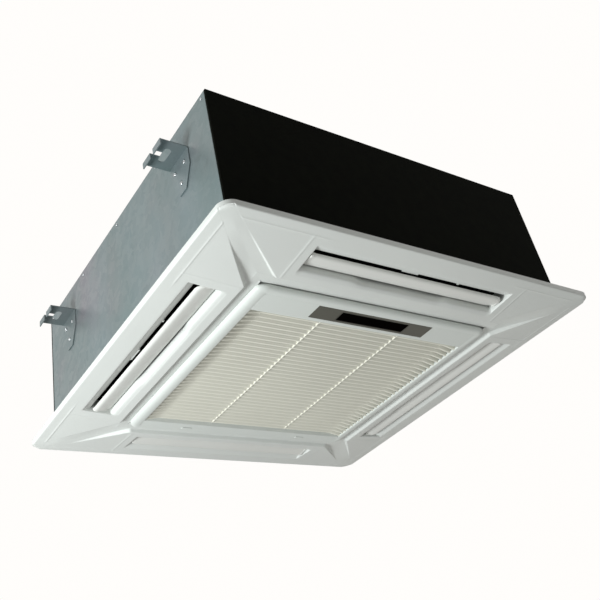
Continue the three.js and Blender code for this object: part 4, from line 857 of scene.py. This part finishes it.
def slats():
    """Slats across the whole field, following its sloped sides."""
    pitch = (FIELD_REAR - FIELD_FRONT - 6.0) / SLATS
    section = [(-5.2, 5.9), (-2.0, 3.4), (1.0, 1.3), (1.8, 0.4), (2.6, 0.0), (3.4, -0.1), (5.0, -0.1),
               (5.7, 0.2), (6.0, 0.8), (5.8, 2.0), (-1.6, 5.9), (-4.6, 6.4)]
    stations = [-FIELD_X, -276, -270, -264, -258, -252, -247, -243, -238, -180, -110, -60]
    stations = stations + [0] + [-x for x in reversed(stations)]
    points, faces = [], []
    for row in range(SLATS):
        middle = FIELD_FRONT + 3.0 + (row + 0.5) * pitch
        start = len(points)
        for x in stations:
            tall = (SLAT_TOP - field_height(x)) / section[-1][1]
            points += [(x, middle + v, field_height(x) + w * tall) for v, w in section]
        faces += loft_faces(len(stations), len(section), caps=True, start=start)
    obj = make_object("grille_slats", points, faces, SLAT_CREAM, "grille", merge=0, smooth_angle=50)
    return obj


def dividers():
    extents = []
    for x in (-DIVIDER_X, DIVIDER_X):
        extents.append((x - 1.3, x + 1.3, FIELD_FRONT + 1, FIELD_REAR - 1, -18.4, -13.0))
    for x in (-FLOOR_X, FLOOR_X):
        extents.append((x - 1.2, x + 1.2, FIELD_FRONT + 3, FIELD_REAR - 3, -14.8, -12.2))
    return boxes("grille_dividers", extents, SLAT_CREAM, "grille", 0.7)


def grille_fittings():
    """Knuckles and pins of the hinge, and ribs behind the borders."""
    for side, end in ((-1, "left"), (1, "right")):
        x = side * HINGE_X
        boxes(f"hinge_knuckle_{end}", [
            (x - 16, x - 9.2, -293.4, -283, -22.6, -12.3), (x + 9.2, x + 16, -293.4, -283, -22.6, -12.3)],
            GRILLE_WHITE, "grille", 0.6)
        lathe(f"hinge_pin_{end}", [(0.3, -10.5), (1.6, -10.5), (1.6, 10.5), (0.3, 10.5)],
              (x, HINGE_Y, HINGE_Z), "x", GRILLE_WHITE, "grille", 16)
    ribs = [(x - 0.8, x + 0.8, -288, FIELD_FRONT + 1, -25.2, -16) for x in (-250, -230, 180, 230, 262)]
    ribs += [(x - 0.8, x + 0.8, FIELD_REAR - 1, 288, -25.2, -16)
             for x in (-250, -210, -100, 0, 100, 210, 250)]
    boxes("border_ribs", ribs, GRILLE_WHITE, "grille", 0.3)


def latches():
    """Finger latches: a ribbed button in each slot on the CAD slider."""
    for side, name in ((-1, "latch_left"), (1, "latch_right")):
        dress(GRILLE_WHITE, name, edge=0.5)
        x = side * LATCH_X
        button = [(x - 9 + i * 3.0, x - 7.6 + i * 3.0, 276.5, 281.0, -27.75, -27.2) for i in range(7)]
        boxes(f"{name}_grips", button, GRILLE_WHITE, f"{name}_body", 0.2)


def display():
    """Smoked bezel with a bevelled frame round a black window."""
    dress(BEZEL, "display_bezel", edge=0.6)
    dress(WINDOW, "display_window", edge=0.3)
    low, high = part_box("display_window")
    x, y0, y1 = high[0] / MM, low[1] / MM, high[1] / MM
    low_z, high_z = -27.0, -25.5
    bars = [(-x - 2.2, x + 2.2, y0 - 2.2, y0 - 0.2, low_z, high_z),
            (-x - 2.2, x + 2.2, y1 + 0.2, y1 + 2.2, low_z, high_z),
            (-x - 2.2, -x - 0.2, y0, y1, low_z, high_z), (x + 0.2, x + 2.2, y0, y1, low_z, high_z)]
    return boxes("display_trim", bars, BEZEL, "grille", 0.4)


# ------------------------------------------------------------------ casing

def screw(name, place, direction, radius):
    """Pan-head screw with a round recess in its head; direction is x, y or z with a sign."""
    sign = -1 if direction[0] == "-" else 1
    axis = direction[-1]
    head = [(1.0, 0.0), (1.0, 0.6), (0.93, 1.3), (0.75, 1.9), (0.45, 2.2), (0.36, 2.2), (0.22, 1.2),
            (0.05, 1.1)]
    profile = [(0.05, 0.0)] + [(radius * f, sign * h) for f, h in head]
    return lathe(name, profile, place, axis, STEEL, "unit", 16)


def casing():
    dress(ZINC, "side_wall_left", "side_wall_right", "end_wall_front", "end_wall_rear", "top_plate",
          "base_frame", "pipe_cover", edge=0.35)
    dress(BLACK_FOAM, "foam_skin_front", "foam_skin_rear", edge=0.8)
    dress(BLACK_FOAM, "panel_gasket")
    dress(CHARCOAL_BEADS, "insulation_liner", "drain_pan")
    number = 0
    for side in (-1, 1):
        for y in (-402, -200, 0, 200, 402):
            for z in (36, 312):
                number += 1
                screw(f"wall_screw_{number}", (side * BODY_HALF, y, z), "-x" if side < 0 else "+x",
                      radius=3.4)


def hanger_set():
    dress(ZINC, "hanger_left_front", "hanger_left_rear", "hanger_right_front", "hanger_right_rear", edge=0.5)
    number = 0
    for side in (-1, 1):
        for end in (-1, 1):
            for dy, z in ((-19, 228), (20, 228), (1, 190)):
                number += 1
                screw(f"hanger_screw_{number}", (side * (BODY_HALF + 2.3), end * 295 + dy * -side, z),
                      "-x" if side < 0 else "+x", radius=4.6)


def insides():
    dress(FINS, "coil")
    dress(ZINC, "coil_end_plate_rear", "coil_end_plate_right", "pump_bracket", "motor_plate", edge=0.3)
    dress(ZINC, "control_box", "control_box_cover", edge=0.4)
    dress(COPPER, "gas_pipe", "liquid_pipe")
    dress(BRASS, "gas_flare_nut", "liquid_flare_nut", edge=0.5)
    dress(GREY_MOULD, "drain_pump", "drain_spigot", "bell_mouth", "louvre_motor", edge=0.5)
    dress(RUBBER, "drain_hose", "motor_damper_1", "motor_damper_2", "motor_damper_3")
    dress(PANEL_WHITE, "float_switch", "float", edge=0.5)
    dress(GREY_MOULD, "fan_wheel", edge=0.5)
    dress(STEEL, "fan_shaft", "fan_nut", edge=0.4)
    dress(MOTOR_PAINT, "fan_motor", edge=1.5)
    dress(BOARD, "control_board", edge=0.3)
    dress(NET, "air_filter", edge=0.4)
    dress(BLACK_MOULD, "cable_gland", edge=0.5)
    dress(GREY_MOULD, "gear_front_far", "gear_right_near", "gear_right_far", "gear_rear_near",
          "gear_rear_far", "gear_left_near", edge=0.15)


# ------------------------------------------------------------------ stage, light and camera

def camera():
    """Camera at the photograph's viewing angle; the image is 600 by 600."""
    heading, elevation, roll = math.radians(41.14), math.radians(32.34), math.radians(-13.32)
    focal_pixels, centre_x, centre_y, width = 813.0, 308.2, 288.5, 600.0
    data = bpy.data.cameras.new("photo_camera")
    data.sensor_width = 36.0
    data.lens = focal_pixels / width * 36.0
    data.shift_x = -(centre_x - width / 2) / width
    data.shift_y = (centre_y - width / 2) / width
    obj = bpy.data.objects.new("photo_camera", data)
    bpy.context.scene.collection.objects.link(obj)
    ahead = Vector((math.sin(heading) * math.cos(elevation), math.cos(heading) * math.cos(elevation),
                    math.sin(elevation)))
    right = Vector((math.cos(heading), -math.sin(heading), 0))
    up = right.cross(ahead)
    right_rolled = right * math.cos(roll) + up * math.sin(roll)
    up_rolled = up * math.cos(roll) - right * math.sin(roll)
    turn = Matrix((right_rolled, up_rolled, -ahead)).transposed()
    obj.matrix_world = Matrix.Translation(Vector(to_row((-1065.7, -1302.0, -850.1)))) @ turn.to_4x4()
    bpy.context.scene.camera = obj


def area_light(name, place, target, size, power, colour=(1, 1, 1)):
    data = bpy.data.lights.new(name, "AREA")
    data.shape = "RECTANGLE"
    data.size, data.size_y = size
    data.energy = power
    data.color = colour
    obj = bpy.data.objects.new(name, data)
    bpy.context.scene.collection.objects.link(obj)
    place, target = Vector(place), Vector(target)
    aim = (target - place).to_track_quat("-Z", "Y")
    obj.matrix_world = Matrix.Translation(place) @ aim.to_matrix().to_4x4()


def stage():
    floor = new_material("pale_floor", "", (0.93, 0.93, 0.92), 0.9)
    shader = shader_of(floor)
    tone = ramp(floor, noise(floor, 2.0), [(0.0, (0.92, 0.92, 0.915)), (1.0, (0.94, 0.94, 0.935))])
    link(floor, tone, shader.inputs["Base Color"])
    path = node(floor, "ShaderNodeLightPath")
    glow = node(floor, "ShaderNodeEmission")
    glow.inputs["Strength"].default_value = 0.35
    add = node(floor, "ShaderNodeAddShader")
    mixer = node(floor, "ShaderNodeMixShader")
    output = floor.node_tree.nodes["Material Output"]
    link(floor, shader.outputs[0], add.inputs[0])
    link(floor, glow.outputs[0], add.inputs[1])
    link(floor, path.outputs["Is Camera Ray"], mixer.inputs[0])
    link(floor, shader.outputs[0], mixer.inputs[1])
    link(floor, add.outputs[0], mixer.inputs[2])
    link(floor, mixer.outputs[0], output.inputs["Surface"])
    size, level = 14.0, -2.6
    mesh = bpy.data.meshes.new("floor")
    mesh.from_pydata([(-size, -size, level), (size, -size, level), (size, size, level), (-size, size, level)],
                     [], [(0, 1, 2, 3)])
    mesh.materials.append(floor)
    obj = bpy.data.objects.new("floor", mesh)
    bpy.context.scene.collection.objects.link(obj)


def world():
    scene = bpy.context.scene
    scene.world = bpy.data.worlds.new("studio")
    scene.world.use_nodes = True
    tree = scene.world.node_tree
    background = tree.nodes["Background"]
    path = tree.nodes.new("ShaderNodeLightPath")
    camera_or_gloss = tree.nodes.new("ShaderNodeMath")
    camera_or_gloss.operation = "MAXIMUM"
    seen = tree.nodes.new("ShaderNodeMath")
    seen.operation = "MAXIMUM"
    strength = tree.nodes.new("ShaderNodeMapRange")
    strength.inputs["To Min"].default_value = 0.24
    strength.inputs["To Max"].default_value = 1.0
    background.inputs["Color"].default_value = (1.0, 0.985, 0.965, 1.0)
    tree.links.new(path.outputs["Is Camera Ray"], camera_or_gloss.inputs[0])
    tree.links.new(path.outputs["Is Glossy Ray"], camera_or_gloss.inputs[1])
    tree.links.new(camera_or_gloss.outputs[0], seen.inputs[0])
    tree.links.new(path.outputs["Is Transmission Ray"], seen.inputs[1])
    tree.links.new(seen.outputs[0], strength.inputs["Value"])
    tree.links.new(strength.outputs["Result"], background.inputs["Strength"])


def lights():
    area_light("key", (-2.1, 0.15, -1.12), (-0.1, 0, -0.2), (0.6, 0.6), 55.0, (0.95, 0.985, 1.0))
    area_light("fill", (0.2, -2.6, -1.0), (0, 0, -0.2), (2.2, 1.6), 4.5)
    area_light("warm", (2.2, 1.6, -1.7), (0, 0, -0.2), (1.6, 1.6), 3.5, (1.0, 0.86, 0.72))
    area_light("top", (0.3, 0.4, 2.8), (0, 0, 0), (2.4, 2.4), 30.0)


# ------------------------------------------------------------------ build

panel_skin()
panel_structure()
for index, louvre_name in enumerate(("louvre_front", "louvre_right", "louvre_rear", "louvre_left")):
    louvre_blade(louvre_name, index)
grille_frame()
grille_strips()
slats()
dividers()
grille_fittings()
latches()
display()
casing()
hanger_set()
insides()
stage()
world()
lights()
camera()

bpy.context.scene.view_settings.view_transform = "Standard"
